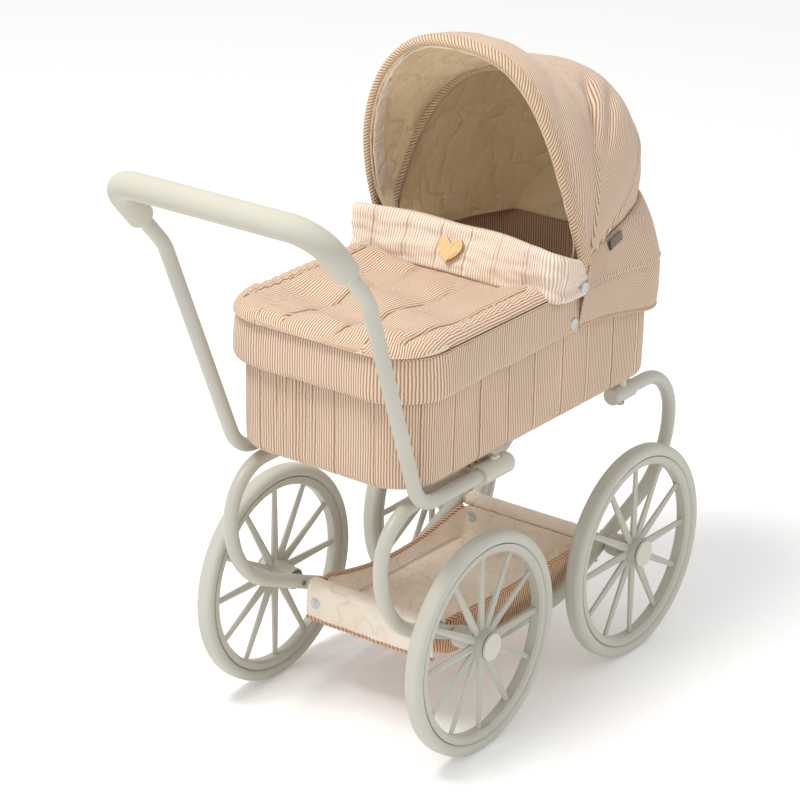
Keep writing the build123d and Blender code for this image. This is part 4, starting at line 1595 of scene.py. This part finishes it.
# %% [markdown]
# ## The sling basket
# A shallow sling of striped cotton, lined with cream cotton, hangs between the two axles. Its side
# edges are piped; the left one hangs slack. The skin runs from the outside of the floor up the wall,
# over the edge and down inside, so it is closed and has two finishes. At both ends a hem of the
# lining is turned over the axle's sleeve and held with press studs. Its lower edge is piped too.

# %% Basket
basket_low, basket_high = (from_frame(c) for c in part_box("basket"))
axle_z = (rear_low.z + rear_high.z) / 2 / MM
half_base = (front_low.y + front_high.y - rear_low.y - rear_high.y) / 4 / MM
sleeve_low, sleeve_high = (from_frame(c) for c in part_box("axle_sleeve_rear"))
sleeve_r = (sleeve_high[2] - sleeve_low[2]) / 2
BASKET_COLUMNS = 480
basket_half = basket_high[0]
basket_end = half_base - 8.4


def basket_outline(total):
    """Rounded rectangle of the basket's plan, its outward way and the distance round it."""
    turns = np.linspace(0, 2 * math.pi, 4000, endpoint=False)
    power = 11.0
    x = basket_half * np.sign(np.sin(turns)) * np.abs(np.sin(turns)) ** (2 / power)
    y = basket_end * np.sign(np.cos(turns)) * np.abs(np.cos(turns)) ** (2 / power)
    closed = np.column_stack([x, y])
    closed = np.vstack([closed, closed[:1]])
    walked = run_length(closed)
    even = np.linspace(0, walked[-1], total, endpoint=False)
    line = np.column_stack([np.interp(even, walked, closed[:, i]) for i in (0, 1)])
    ahead = np.roll(line, -1, axis=0) - np.roll(line, 1, axis=0)
    ahead /= np.linalg.norm(ahead, axis=1, keepdims=True)
    out = np.column_stack([-ahead[:, 1], ahead[:, 0]])
    out *= np.sign((out * line).sum(-1, keepdims=True))
    return line, out, even, walked[-1]


def basket():
    line, out, walked, whole = basket_outline(BASKET_COLUMNS)
    on_side = np.abs(line[:, 0]) > basket_half - 4
    slack = np.cos(np.clip((line[:, 1] - 12) / 125, -1, 1) * math.pi / 2) ** 0.8
    right_sag, left_sag = 4.0, 22.0
    side_z, end_z = 113.5, 108.5
    rim = np.where(on_side, side_z - np.where(line[:, 0] > 0, right_sag, left_sag) * slack, end_z)
    blur = 6
    window = np.ones(2 * blur + 1) / (2 * blur + 1)
    rim = np.convolve(np.concatenate([rim[-blur:], rim, rim[:blur]]), window, "valid")
    flat = np.column_stack([line, 0 * walked])
    floor_z = basket_low[2]
    rows, kinds = [], []

    def ring(scale, inset, height, kind):
        moved = line - out * (np.zeros(BASKET_COLUMNS) + inset)[:, None]
        rows.append(np.column_stack([moved * scale, np.zeros(BASKET_COLUMNS) + height]))
        kinds.append(kind)

    def floor_height(scale, lift):
        spot = np.column_stack([line * scale, 0 * walked])
        rumple = 1.4 * wander(spot, 55, 81) * (1 - scale**6)
        return floor_z + 2.6 - 2.6 * (1 - scale**2) + lift + rumple

    def belly(share):
        return (2.0 + 1.0 * wander(flat, 45, 82)) * math.sin(math.pi * share) * on_side * 0.5

    for scale in (0.04, 0.3, 0.55, 0.75, 0.88, 0.95):
        ring(scale, 0.0, floor_height(scale, 0.0), 0)
    for share in np.linspace(0.0, 1.0, 14):
        base = floor_height(1.0, 0.0) + 1.5
        ring(1.0, 4.5 * (1 - share) ** 2 + 0.4 + belly(share), base + (rim - base) * share, 0)
    for share in np.linspace(1.0, 0.0, 14):
        base = floor_height(1.0, 0.0) + 3.6
        ring(1.0, 4.5 * (1 - share) ** 2 + 2.0 + belly(share), base + (rim - base) * share, 1)
    for scale in (0.94, 0.86, 0.73, 0.55, 0.3, 0.04):
        ring(scale, 0.0, floor_height(scale, 2.2), 1)
    points = np.array(rows)
    up_run = run_length(points[:, 0])
    across = np.concatenate([walked, [whole]])
    thread = np.stack(np.broadcast_arrays(across[None, :], up_run[:, None]), -1)
    piece = cloth(
        "basket_sling", points, thread, loop=True, finishes=[basket_cotton, basket_lining], finish_rows=kinds
    )
    close_ends(piece)
    tidy_mesh(piece)
    rim_line = np.column_stack([line - out * 1.7, rim + 1.4])
    return piece, grid_area(points[: len(points) // 2]), rim_line


basket_piece, basket_area, rim_line = basket()
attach(basket_piece, "chassis")
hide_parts("basket")
side_pipes = []
for word, side in (("right", 1), ("left", -1)):
    on_edge = (rim_line[:, 0] * side > basket_half - 8) & (np.abs(rim_line[:, 1]) < basket_end - 3)
    edge = rim_line[on_edge]
    edge = edge[np.argsort(edge[:, 1])]
    side_pipes.append(tube_along(f"basket_piping_{word}", edge, 2.3, basket_cotton))


def hem(name, end):
    """Lining turned over the axle's sleeve, from the basket's end wall down to its piped edge."""
    columns = 130
    wrap = sleeve_r + 1.9
    turns = np.linspace(-0.35, math.pi, 22)
    over = [(half_base - wrap * math.cos(t), axle_z + wrap * math.sin(t)) for t in turns]
    hem_foot_z = 81
    down = [(half_base + wrap + 0.8, z) for z in np.linspace(axle_z - 2, hem_foot_z, 16)]
    profile = np.array(over + down)
    x = np.linspace(-basket_half + 4.5, basket_half - 4.5, columns)
    points = np.zeros((len(profile), columns, 3))
    points[..., 0] = x[None, :]
    points[..., 1] = end * profile[:, :1]
    points[..., 2] = profile[:, 1:]
    hanging = step(np.arange(len(profile)), 20, 30)[:, None]
    points[..., 1] += end * hanging * (0.9 * wander(points, 34, 91) + 0.5 * wander(points, 14, 92) + 0.9)
    points[..., 2] -= hanging * 2.2 * np.cos(x / basket_half * math.pi / 2)[None, :]
    down_run = run_length(points[:, columns // 2])
    thread = np.stack(np.broadcast_arrays(x[None, :], down_run[:, None]), -1)
    piece = cloth(name, points, thread, finishes=[basket_lining])
    thicken(piece, 1.4)
    flat = (float(x[-1] - x[0]) * MM, float(down_run[-1]) * MM)
    return piece, flat, grid_area(points), points[-1]


for name, end in (("basket_hem_rear", -1), ("basket_hem_front", 1)):
    piece, flat, area, edge = hem(name, end)
    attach(piece, "chassis")
    side_pipes.append(tube_along(name + "_piping", edge, 2.0, basket_cotton))
for piece in side_pipes:
    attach(piece, "chassis")
count(basket_piece)
